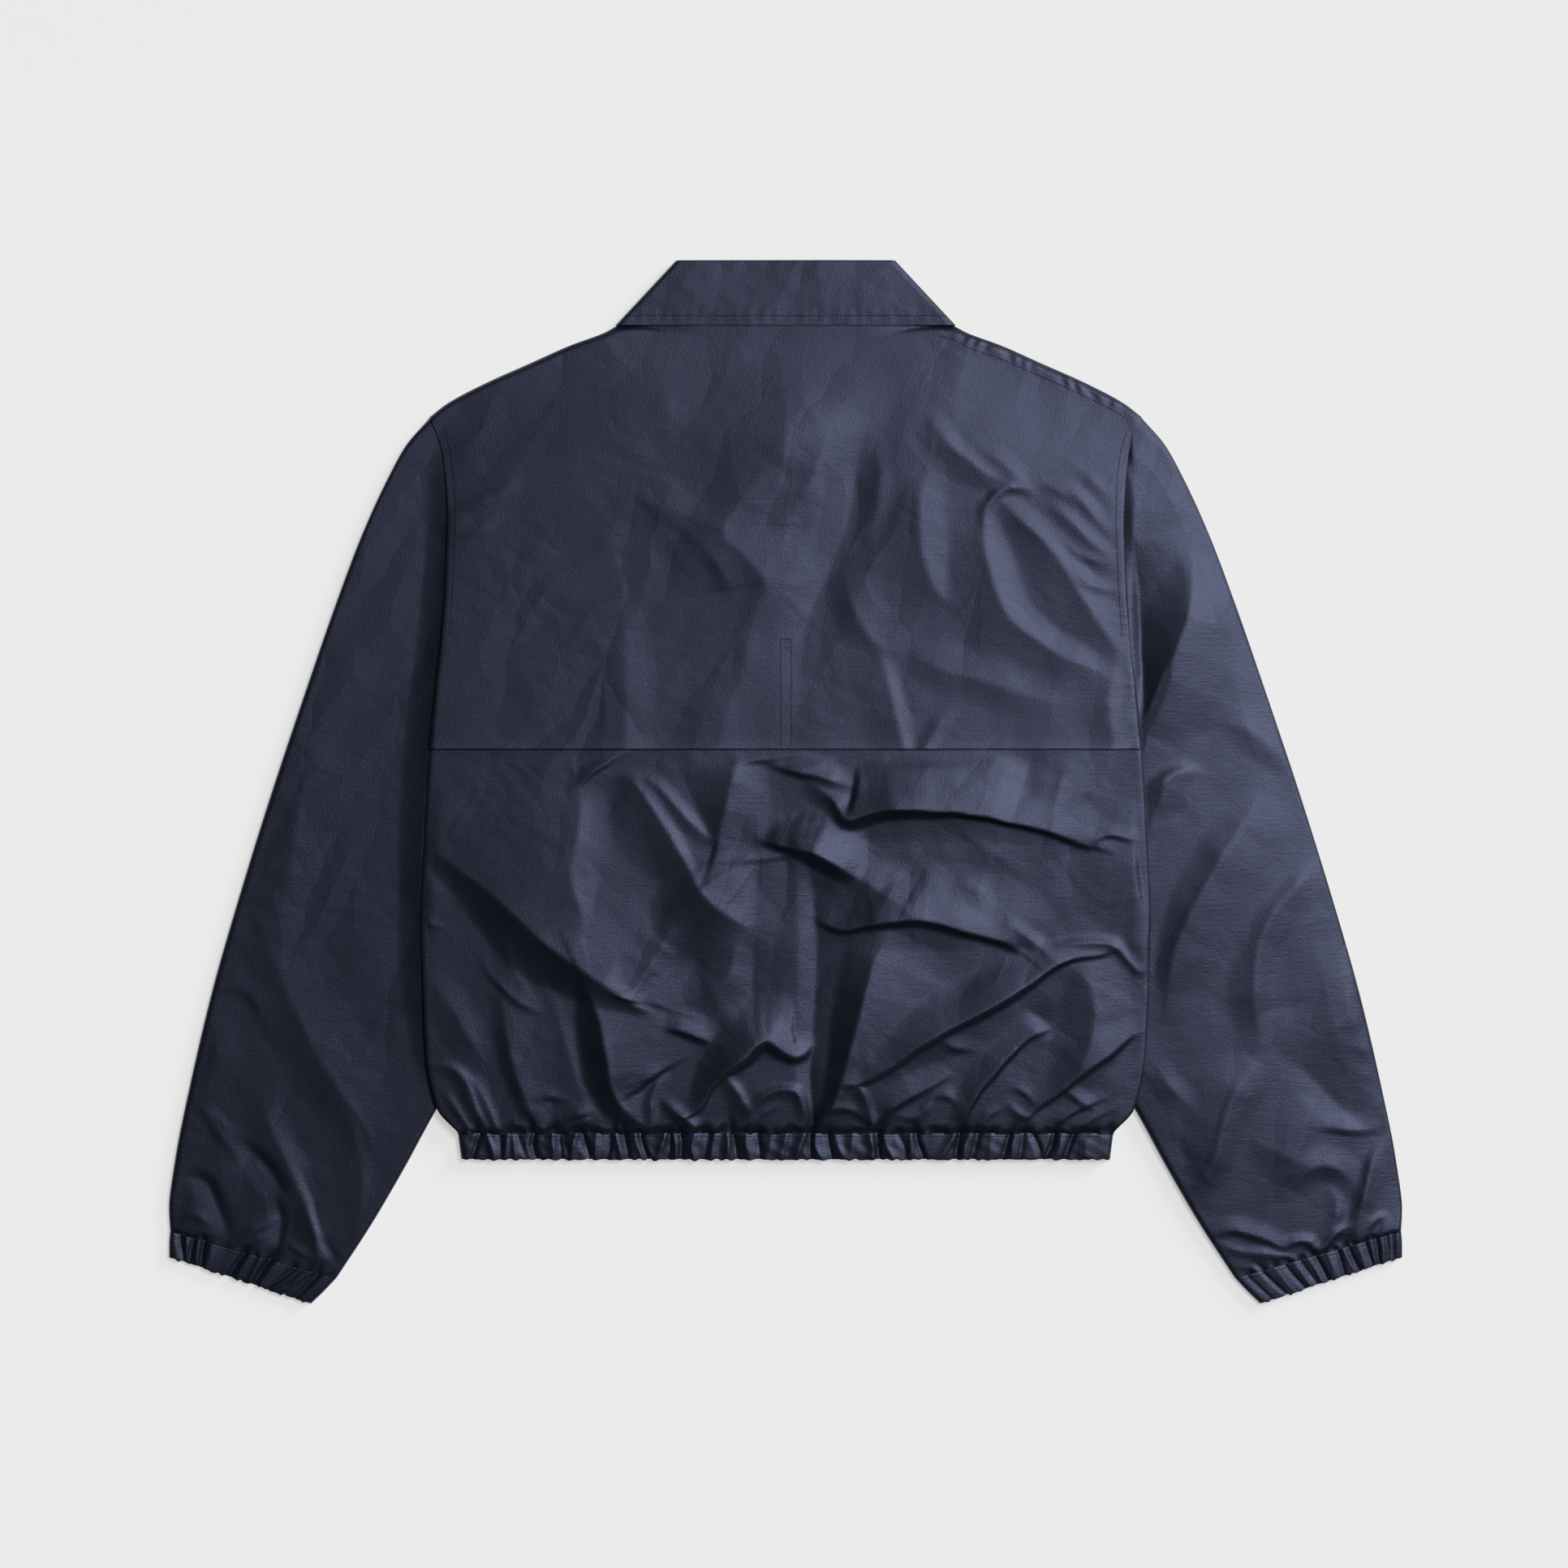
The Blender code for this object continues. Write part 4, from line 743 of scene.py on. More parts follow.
class CreaseField:
    """The creases of one piece of cloth, as heights and sideways shifts on a fine grid."""

    spacing = 5.0
    margin = 12.0
    bow = 1.3
    sharp_flank = Ramp(9.0, -6.0)
    hollow = 0.9
    trail = 0.7
    overhang = 0.9
    lap = 14.0
    inset = 1.001
    waver_x = Ripple(0.3, 34.0, 11)
    waver_y = Ripple(0.3, 34.0, 12)

    def __init__(
        self,
        creases: tuple[Crease, ...],
        box: tuple[float, float, float, float],
        soften: float,
        cell: float = 1.2,
    ) -> None:
        """Adds the creases up.

        Args:
            creases: the piece's creases.
            box: least x, least y, greatest x and greatest y of the piece.
            soften: how far the edges of the flanks are rounded.
            cell: the grid's spacing.
        """
        self.cell = cell
        self.low = np.array(box[:2]) - self.margin
        size = np.ceil((np.array(box[2:]) + self.margin - self.low) / self.cell).astype(int) + 1
        grids = np.zeros((3, size[1], size[0]))
        for crease in creases:
            self._add(grids, crease)
        self.shifts = [self._softened(grid, soften / self.cell) for grid in grids[:2]]
        self.heights = self._softened(grids[2], soften / self.cell)

    def _line(self, path: tuple[tuple[float, float], ...]) -> np.ndarray:
        """Returns close points on a smooth line through a path."""
        points = np.array(path, float)
        ends = np.vstack([2 * points[0] - points[1], points, 2 * points[-1] - points[-2]])
        found = []
        for a, b, c, d in zip(ends, ends[1:], ends[2:], ends[3:]):
            count = max(2, int(np.hypot(*(c - b)) / self.spacing))
            for t in np.arange(count) / count:
                bend = 2 * b + (c - a) * t + (2 * a - 5 * b + 4 * c - d) * t * t
                found.append(0.5 * (bend + (3 * b - a - 3 * c + d) * t ** 3))
        return np.array(found + [points[-1]])

    def _add(self, grids: np.ndarray, crease: Crease) -> None:
        """Adds one crease to the grids.

        Args:
            grids: shifts in X and Y and heights, which change.
            crease: the crease.
        """
        line = self._line(crease.path)
        reach = max(crease.left + crease.right) + self.lap
        first = np.maximum(np.floor((line.min(axis=0) - reach - self.low) / self.cell).astype(int), 0)
        last = np.ceil((line.max(axis=0) + reach - self.low) / self.cell).astype(int) + 1
        window = grids[:, first[1]:last[1], first[0]:last[0]]
        rows, columns = np.indices(window.shape[1:])
        x = self.low[0] + (columns + first[0]) * self.cell
        y = self.low[1] + (rows + first[1]) * self.cell
        nearest = np.full(x.shape, np.inf)
        share = np.zeros(x.shape)
        turn = np.zeros(x.shape)
        aside = np.zeros((2, *x.shape))
        for step, (start, end) in enumerate(zip(line, line[1:])):
            run = end - start
            t = np.clip(((x - start[0]) * run[0] + (y - start[1]) * run[1]) / (run @ run), 0.0, 1.0)
            off_x = x - start[0] - t * run[0]
            off_y = y - start[1] - t * run[1]
            away = np.hypot(off_x, off_y)
            nearer = away < nearest
            nearest = np.where(nearer, away, nearest)
            share = np.where(nearer, (step + t) / (len(line) - 1), share)
            turn = np.where(nearer, run[0] * off_y - run[1] * off_x, turn)
            to_right = np.array([run[1], -run[0]]) / np.hypot(*run)
            aside = np.where(nearer, to_right[:, None, None], aside)
        height, left, right = (
            np.interp(share, np.linspace(0.0, 1.0, len(column)), column)
            for column in (crease.height, crease.left, crease.right)
        )
        left_lip = self.sharp_flank(left)
        right_lip = self.sharp_flank(right)
        on_left = turn >= 0.0
        reach = np.where(on_left, left, right)
        lip = np.where(on_left, left_lip, right_lip)
        fall = np.clip(1.0 - nearest / (reach * (1.0 + self.trail * lip)), 0.0, 1.0)
        window[2] += height * fall ** (self.bow + self.hollow * lip)
        over = self.overhang * np.maximum(height, 0.0) * (right_lip - left_lip)
        behind = np.where(on_left, over > 0.0, over < 0.0)
        carried = np.where(behind, np.clip(1.0 - nearest / self.lap, 0.0, 1.0), fall) ** 2
        window[:2] += over * carried * aside

    @staticmethod
    def _softened(grid: np.ndarray, reach: float) -> np.ndarray:
        """Returns the grid with its edges rounded over a reach in cells."""
        half = int(math.ceil(3.0 * reach))
        weights = np.exp(-0.5 * (np.arange(-half, half + 1) / reach) ** 2)
        weights /= weights.sum()
        for axis in (0, 1):
            margins = [(half, half) if axis == index else (0, 0) for index in (0, 1)]
            wide = np.pad(grid, margins, mode="edge")
            count = grid.shape[axis]
            grid = sum(
                weight * np.take(wide, np.arange(shift, shift + count), axis=axis)
                for shift, weight in enumerate(weights)
            )
        return grid

    def lift(self, x: np.ndarray, y: np.ndarray) -> np.ndarray:
        """Returns the height that the creases add at each point."""
        return self._read(self.heights, x, y)

    def lean(self, x: np.ndarray, y: np.ndarray) -> np.ndarray:
        """Returns how far the lips carry each point sideways, in X and in Y."""
        return np.stack([self._read(grid, x, y) for grid in self.shifts])

    def _read(self, grid: np.ndarray, x: np.ndarray, y: np.ndarray) -> np.ndarray:
        """Returns a grid's value at each point, with its lines a little uneven."""
        rows, columns = grid.shape
        at_x = np.clip((x + self.waver_x(x, y) - self.low[0]) / self.cell, 0.0, columns - self.inset)
        at_y = np.clip((y + self.waver_y(x, y) - self.low[1]) / self.cell, 0.0, rows - self.inset)
        i = at_x.astype(int)
        j = at_y.astype(int)
        u = at_x - i
        v = at_y - j
        lower = blend(grid[j, i], grid[j, i + 1], u)
        return blend(lower, blend(grid[j + 1, i], grid[j + 1, i + 1], u), v)


@dataclass
class GatherRow:
    """The pinched troughs along one elastic seam."""

    gathers: tuple[Gather, ...]

    pinch = 2.6
    spread = 0.16
    sharp = 0.5
    fade = 1.4

    def dip(self, along: np.ndarray, away: np.ndarray) -> np.ndarray:
        """Gives the troughs' depth.

        Args:
            along: distance along the seam.
            away: distance from the seam into the gathered cloth.

        Returns:
            How far the cloth sinks at each point.
        """
        total = np.zeros(np.broadcast(along, away).shape)
        for gather in self.gathers:
            share = np.clip(away / gather.reach, 0.0, 1.0)
            width = self.pinch + self.spread * away
            off = along - gather.along - gather.lean * share
            pinched = np.exp(-(np.sqrt(off ** 2 + self.sharp ** 2) - self.sharp) / width)
            total = np.maximum(total, gather.depth * (1.0 - share) ** self.fade * pinched)
        return total


class Casing:
    """The pinches and ridges of one elastic casing, laid out flat."""

    soften = 0.7
    cell = 0.6
    past = 1.0
    seam_share = 0.8
    edge_share = 0.7

    def __init__(self, pinches: tuple[Pinch, ...], start: float, end: float, depth: float) -> None:
        """Lays the pinches out.

        Args:
            pinches: the casing's pinches and ridges.
            start: where the casing begins.
            end: where it ends.
            depth: its width from the seam to the free edge.
        """
        self.depth = depth
        creases = tuple(
            Crease(
                ((pinch.top, self.past), (pinch.middle, -0.5 * depth), (pinch.bottom, -self.past - depth)),
                (self.seam_share * pinch.height, pinch.height, self.edge_share * pinch.height),
                (pinch.right,),
                (pinch.left,),
            )
            for pinch in pinches
        )
        self.creased = CreaseField(creases, (start, -depth, end, 0.0), self.soften, self.cell)

    def lift(self, along: np.ndarray, share: np.ndarray) -> np.ndarray:
        """Gives the casing's rise and fall.

        Args:
            along: distance along the casing.
            share: share of the way from the seam to the free edge.

        Returns:
            The height that the pinches add at each point.
        """
        return self.creased.lift(along, -self.depth * share)


# Finishes


class Finish:
    """A material in the making: its node tree, its shader and its Object coordinates."""

    def __init__(self, name: str) -> None:
        """Starts a material with a name."""
        self.made = bpy.data.materials.new(name)
        self.made.use_nodes = True
        self.tree = self.made.node_tree
        self.shader = self.tree.nodes["Principled BSDF"]
        self.place = self.tree.nodes.new("ShaderNodeTexCoord").outputs["Object"]

    def feed(self, node: bpy.types.Node, inputs: dict[str | int, Feed]) -> None:
        """Links each socket that is given to a node's input, and sets each value.

        Args:
            node: the node.
            inputs: a socket or a value for each input.
        """
        for key, value in inputs.items():
            if isinstance(value, bpy.types.NodeSocket):
                self.tree.links.new(value, node.inputs[key])
            else:
                node.inputs[key].default_value = value

    def add(self, kind: str, inputs: dict[str | int, Feed], **settings: str) -> bpy.types.Node:
        """Adds a node.

        Args:
            kind: its type.
            inputs: a socket or a value for each input.
            settings: its own properties.

        Returns:
            The node.
        """
        node = self.tree.nodes.new(kind)
        for name, value in settings.items():
            setattr(node, name, value)
        self.feed(node, inputs)
        return node

    def noise(
        self, size: float, detail: float, place: bpy.types.NodeSocket | None = None
    ) -> bpy.types.NodeSocket:
        """Adds a noise.

        Args:
            size: usual size of its lumps in millimetres.
            detail: how many finer layers it has.
            place: the coordinates, or None for the material's own.

        Returns:
            Its value.
        """
        place = self.place if place is None else place
        inputs = {"Vector": place, "Scale": 1.0 / (size * MM), "Detail": detail}
        return self.add("ShaderNodeTexNoise", inputs).outputs["Fac"]

    def tones(
        self, share: bpy.types.NodeSocket, dark: Colour, light: Colour, low: float = 0.0, high: float = 1.0
    ) -> bpy.types.NodeSocket:
        """Adds a change from one colour to another.

        Args:
            share: what the colour follows.
            dark: the colour up to the low share.
            light: the colour from the high share on.
            low: the low share.
            high: the high share.

        Returns:
            The colour.
        """
        ramp = self.add("ShaderNodeValToRGB", {"Fac": share})
        for element, position, colour in zip(ramp.color_ramp.elements, (low, high), (dark, light)):
            element.position = position
            element.color = (*colour, 1.0)
        return ramp.outputs["Color"]

    def bump(
        self,
        height: bpy.types.NodeSocket,
        strength: float,
        depth: float,
        under: bpy.types.NodeSocket | None,
    ) -> bpy.types.NodeSocket:
        """Adds a bump.

        Args:
            height: its pattern.
            strength: how much of it shows.
            depth: its depth in millimetres.
            under: the normal of the bump that it lies on, if any.

        Returns:
            The normal.
        """
        inputs = {"Height": height, "Strength": strength, "Distance": depth * MM}
        if under is not None:
            inputs["Normal"] = under
        return self.add("ShaderNodeBump", inputs).outputs["Normal"]


@dataclass(frozen=True)
class Rumple:
    """Faint facets of one size in pressed cloth, fading in patches down to their least share."""

    size: float
    stretch: float
    turn: float
    depth: float
    least: float
    patch: float


@dataclass(frozen=True)
class Taffeta:
    """Fine dark nylon cloth with a soft sheen and a close plain weave."""

    name: str = "navy_taffeta"
    dark: Colour = (0.0043, 0.0049, 0.0097)
    light: Colour = (0.0063, 0.0071, 0.0131)
    tone_patch: float = 45.0
    tone_low: float = 0.3
    tone_high: float = 0.7
    roughness_low: float = 0.41
    roughness_high: float = 0.49
    specular: float = 0.88
    gleam: Colour = (0.56, 0.62, 1.0)
    sheen: float = 0.05
    sheen_roughness: float = 0.45
    sheen_tint: Colour = (0.62, 0.66, 0.85)
    thread_pitch: float = 0.45
    thread_waver: float = 0.4
    grain: float = 1.7
    slub: float = 2.2
    slub_stretch: float = 0.14
    weave_bump: tuple[float, float] = (0.18, 0.06)
    grain_bump: tuple[float, float] = (0.80, 0.16)
    slub_bump: tuple[float, float] = (0.50, 0.18)
    rumples: tuple[Rumple, ...] = (
        Rumple(46.0, 2.6, 66.0, 1.7, 0.15, 150.0),
        Rumple(21.0, 2.2, -38.0, 0.32, 0.0, 80.0),
    )
    rumple_low: float = 0.38
    rumple_high: float = 0.66
    sway: float = 0.9
    sway_scale: float = 0.7

    def material(self) -> bpy.types.Material:
        """Makes the cloth's material.

        Returns:
            The material, patterned on Object coordinates.
        """
        finish = Finish(self.name)
        patches = finish.noise(self.tone_patch, detail=4.0)
        grain = finish.noise(self.grain, detail=2.0)
        roughness = {"Value": grain, "To Min": self.roughness_low, "To Max": self.roughness_high}
        gloss = finish.add("ShaderNodeMapRange", roughness)
        stretch = {"Vector": finish.place, "Scale": (self.slub_stretch, 1.0, 1.0)}
        weft = finish.add("ShaderNodeMapping", stretch)
        slubs = finish.noise(self.slub, detail=3.0, place=weft.outputs["Vector"])
        normal = finish.bump(self._weave(finish), *self.weave_bump, None)
        normal = finish.bump(grain, *self.grain_bump, normal)
        normal = finish.bump(slubs, *self.slub_bump, normal)
        for rumple in self.rumples:
            normal = finish.bump(self._facets(finish, rumple), 1.0, rumple.depth, normal)
        finish.feed(finish.shader, {
            "Base Color": finish.tones(patches, self.dark, self.light, self.tone_low, self.tone_high),
            "Roughness": gloss.outputs["Result"],
            "Specular IOR Level": self.specular,
            "Specular Tint": (*self.gleam, 1.0),
            "Sheen Weight": self.sheen,
            "Sheen Roughness": self.sheen_roughness,
            "Sheen Tint": (*self.sheen_tint, 1.0),
            "Normal": normal,
        })
        return finish.made

    def _facets(self, finish: Finish, rumple: Rumple) -> bpy.types.NodeSocket:
        """Returns the height of small flat facets, deep in some places and faint in others."""
        lumps = {"Vector": finish.place, "Scale": self.sway_scale / (rumple.size * MM), "Detail": 2.0}
        sway = finish.add("ShaderNodeTexNoise", lumps)
        moved = {0: sway.outputs["Color"], 1: (self.sway * rumple.size * MM,) * 3, 2: finish.place}
        shift = finish.add("ShaderNodeVectorMath", moved, operation="MULTIPLY_ADD")
        turned = {
            "Vector": shift.outputs["Vector"],
            "Rotation": (0.0, 0.0, math.radians(rumple.turn)),
            "Scale": (rumple.stretch, 1.0, 1.0),
        }
        turn = finish.add("ShaderNodeMapping", turned, vector_type="TEXTURE")
        cells = finish.add(
            "ShaderNodeTexVoronoi",
            {"Vector": turn.outputs["Vector"], "Scale": 1.0 / (rumple.size * MM)},
            voronoi_dimensions="2D",
            feature="DISTANCE_TO_EDGE",
        )
        share = finish.add("ShaderNodeMapRange", {
            "Value": finish.noise(rumple.patch, detail=2.0),
            "From Min": self.rumple_low,
            "From Max": self.rumple_high,
            "To Min": rumple.least,
        })
        both = {0: cells.outputs["Distance"], 1: share.outputs["Result"]}
        return finish.add("ShaderNodeMath", both, operation="MULTIPLY").outputs["Value"]

    def _weave(self, finish: Finish) -> bpy.types.NodeSocket:
        """Returns the height of warp and weft threads crossing."""
        scale = math.pi / (10.0 * self.thread_pitch * MM)
        threads = {"Vector": finish.place, "Scale": scale, "Distortion": self.thread_waver}
        crossing = {
            index: finish.add("ShaderNodeTexWave", threads, bands_direction=direction).outputs["Fac"]
            for index, direction in enumerate(("X", "Y"))
        }
        return finish.add("ShaderNodeMath", crossing, operation="MULTIPLY").outputs["Value"]


@dataclass(frozen=True)
class Thread:
    """Matching sewing thread, matt and a shade darker than the cloth."""

    name: str = "navy_thread"
    dark: Colour = (0.003, 0.0034, 0.006)
    light: Colour = (0.008, 0.009, 0.014)
    roughness: float = 0.9
    specular: float = 0.1
    twist: float = 700.0

    def material(self) -> bpy.types.Material:
        """Makes the thread's material, twisted in fine light and dark bands."""
        finish = Finish(self.name)
        bands = {"Vector": finish.place, "Scale": self.twist}
        twist = finish.add("ShaderNodeTexWave", bands, bands_direction="DIAGONAL")
        finish.feed(finish.shader, {
            "Base Color": finish.tones(twist.outputs["Fac"], self.dark, self.light),
            "Roughness": self.roughness,
            "Specular IOR Level": self.specular,
        })
        return finish.made


@dataclass(frozen=True)
class PaleFloor:
    """Pale matt sheet, lit softly from below and more on the side away from the lamps."""

    name: str = "pale_sheet"
    dark: Colour = (0.515, 0.515, 0.515)
    light: Colour = (0.525, 0.525, 0.525)
    mottle: float = 60.0
    roughness: float = 0.95
    specular: float = 0.1
    glow: float = 0.483
    rise: float = 0.085
    away: tuple[float, float, float] = (-0.81, -0.59, 0.0)

    def material(self) -> bpy.types.Material:
        """Makes the floor's material."""
        finish = Finish(self.name)
        away = finish.add("ShaderNodeVectorMath", {0: finish.place, 1: self.away}, operation="DOT_PRODUCT")
        growing = {0: away.outputs["Value"], 1: self.rise, 2: self.glow}
        glow = finish.add("ShaderNodeMath", growing, operation="MULTIPLY_ADD")
        mottle = finish.add("ShaderNodeTexNoise", {"Vector": finish.place, "Scale": self.mottle})
        finish.feed(finish.shader, {
            "Base Color": finish.tones(mottle.outputs["Fac"], self.dark, self.light),
            "Roughness": self.roughness,
            "Specular IOR Level": self.specular,
            "Emission Color": (1.0, 1.0, 1.0, 1.0),
            "Emission Strength": glow.outputs["Value"],
        })
        return finish.made


# Cloth pieces


@dataclass(frozen=True)
class Cut:
    """The flat cut of a piece in millimetres, the share of it that is cloth, and how it is held."""

    width: float
    length: float
    area: float
    hold: Hold
    rests_on: tuple[str, ...]


def lay_cloth(name: str, points: np.ndarray, thickness: float, wraps: bool) -> bpy.types.Object:
    """Lays a grid of cloth through points and gives it its thickness.

    Args:
        name: the piece's name.
        points: rows of points on the cloth's outer face.
        thickness: the cloth's thickness.
        wraps: whether each row closes on itself, as round a tube.

    Returns:
        The piece.
    """
    if wraps:
        points = np.concatenate([points, points[:, :1]], axis=1)
    rows, columns = points.shape[:2]
    bpy.ops.object.select_all(action="DESELECT")
    bpy.ops.mesh.primitive_grid_add(x_subdivisions=columns - 1, y_subdivisions=rows - 1, size=1.0)
    piece = bpy.context.active_object
    piece.name = name
    piece.data.name = name
    piece.data.vertices.foreach_set("co", (points * MM).ravel())
    piece.data.update()
    if wraps:
        bpy.ops.object.mode_set(mode="EDIT")
        bpy.ops.mesh.select_all(action="SELECT")
        bpy.ops.mesh.remove_doubles(threshold=WELD * MM)
        bpy.ops.mesh.normals_make_consistent(inside=False)
        bpy.ops.object.mode_set(mode="OBJECT")
        underside = [face for face in piece.data.polygons if face.center.z < UNDERSIDE * MM]
        if sum(face.normal.z * face.area for face in underside) > 0.0:
            piece.data.flip_normals()
    bpy.ops.object.modifier_add(type="SOLIDIFY")
    wall = piece.modifiers[-1]
    wall.thickness = thickness * MM
    wall.offset = -1.0
    piece.vertex_groups.new(name=INSIDE)
    wall.shell_vertex_group = INSIDE
    bpy.ops.object.modifier_apply(modifier=wall.name)
    bpy.ops.object.modifier_add(type="DECIMATE")
    fewer = piece.modifiers[-1]
    fewer.ratio = INSIDE_RATIO
    fewer.vertex_group = INSIDE
    bpy.ops.object.modifier_apply(modifier=fewer.name)
    places = np.empty(len(piece.data.vertices) * 3)
    piece.data.vertices.foreach_get("co", places)
    places[2::3] = np.maximum(places[2::3], 0.0)
    piece.data.vertices.foreach_set("co", places)
    bpy.ops.object.shade_smooth_by_angle(angle=math.radians(SMOOTH_ANGLE))
    return piece


def dress(piece: bpy.types.Object, node: str, cloth: bpy.types.Material) -> bpy.types.Object:
    """Gives a cloth piece its finish and its place in the frame.

    Args:
        piece: the cloth piece.
        node: the solid that it stands for.
        cloth: its material.

    Returns:
        The piece.
    """
    piece.data.materials.clear()
    piece.data.materials.append(cloth)
    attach(piece, ROOT)
    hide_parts(node)
    return piece


class ClothPiece:
    """A piece of the jacket that is laid out as one grid of points."""

    node: str
    cut: Cut
    thickness: float
    wraps = False

    def points(self) -> np.ndarray:
        """Returns rows of points on the piece's outer face."""
        raise NotImplementedError

    def build(self, cloth: bpy.types.Material) -> bpy.types.Object:
        """Makes the piece.

        Args:
            cloth: its material.

        Returns:
            The dressed piece.
        """
        piece = lay_cloth(self.node + "_cloth", self.points(), self.thickness, self.wraps)
        return dress(piece, self.node, cloth)


@dataclass
class BackBody(ClothPiece):
    """The back below the yoke and the part that runs up under it."""

    outline: BodyOutline
    gathers: GatherRow
    node: str = "back_body"
    cut: Cut = Cut(560.0, 385.0, 0.93, Hold.LAID, ("left_front", "right_front"))
    shown_rows: int = 232
    hidden_rows: int = 12
    columns: int = 344
    thickness: float = 0.7
    hem_y: float = -259.8
    yoke_edge_y: float = 24.5
    yoke_lap: float = 4.0
    top_y: float = 104.0
    half_width: float = 270.0
    level: float = 12.0
    crown: float = 1.6
    side_level: float = 9.4
    hem_level: float = 8.6
    hem_tuck: float = 6.0
    puff_level: float = 10.8
    least: float = 3.9
    side_least: float = 6.6
    hem_least: float = 3.2
    least_rise: float = 30.0
    least_bend: float = 1.6
    side_roll: float = 3.5
    hem_roll: float = 36.0
    crease_start: float = 5.0
    lean_start: float = 12.0
    gather_depth: float = 1.5
    gather_inset: float = 12.0
    soften: float = 0.8
    yoke_hold: float = 0.8
    side_hold: float = 16.0
    side_slack: float = 0.15
    under_yoke: Ramp = Ramp(8.0, 18.0)
    to_sides: Ramp = Ramp(150.0, 60.0)
    swell: Ripple = Ripple(0.08, 58.0, 3)
    crinkle: Ripple = Ripple(0.015, 17.0, 4)
    hem_pucker: Ripple = Ripple(1.3, 10.0, 27)
    tuck_change: Ripple = Ripple(0.45, 15.0, 28)
    tuck_limits: tuple[float, float] = (-0.6, 0.9)

    def __post_init__(self) -> None:
        """Lays out the creases."""
        box = (-self.half_width, self.hem_y, self.half_width, self.top_y)
        self.creased = CreaseField(BACK_CREASES, box, self.soften)

    def slack(self, x: np.ndarray, y: np.ndarray) -> np.ndarray:
        """Returns how freely the cloth can crease: least under the yoke and at the side seams."""
        free = 1.0 - self.yoke_hold * self.under_yoke(y)
        return free * smooth((self.outline.back_half(y) - np.abs(x)) / self.side_hold + self.side_slack)

    def height(self, x: np.ndarray, y: np.ndarray) -> np.ndarray:
        """Gives the outer face.

        Args:
            x: X of the points.
            y: Y of the points.

        Returns:
            The height of the cloth's outer face at each point.
        """
        half = self.outline.back_half(y)
        to_side = half - np.abs(x)
        lift = self.creased.lift(x, y)
        lift += self.swell(x, y) + self.crinkle(x, y)
        away = y - self.hem_y
        level = self.level - self.crown * (x / half) ** 2
        level = blend(np.minimum(self.puff_level, level), level, smooth(away / self.hem_roll))
        seam = self.hem_level + self.hem_pucker(x, 0.0 * y)
        tuck = self.hem_tuck * (1.0 + np.clip(self.tuck_change(x, 0.0 * y), *self.tuck_limits))
        level = blend(np.minimum(seam, level), level, smooth(away / tuck))
        level += lift * self.slack(x, y) * smooth(away / self.crease_start)
        least = blend(self.least, self.side_least, self.to_sides(np.abs(x)))
        level = least + np.logaddexp(0.0, (level - least) * self.least_bend) / self.least_bend
        level = blend(self.side_level, level, roll(to_side / self.side_roll))
        dip = self.gather_depth * self.gathers.dip(x, np.maximum(away, 0.0))
        dip *= smooth(to_side / self.gather_inset)
        return np.maximum(level - dip, blend(self.hem_least, least, smooth(away / self.least_rise)))

    def points(self) -> np.ndarray:
        """Returns rows of points from the hem up, close together where they show."""
        share = edge_shares(self.columns)[None, :]
        hidden_y = self.yoke_edge_y + self.yoke_lap
        shown = np.linspace(self.hem_y, hidden_y, self.shown_rows, endpoint=False)
        hidden = np.linspace(hidden_y, self.top_y, self.hidden_rows)
        y = np.concatenate([shown, hidden])[:, None] + 0.0 * share
        x = share * self.outline.back_half(y)
        lean = self.creased.lean(x, y) * self.slack(x, y) * smooth((y - self.hem_y) / self.lean_start)
        return np.stack([x + lean[0], y + lean[1], self.height(x, y)], axis=2)


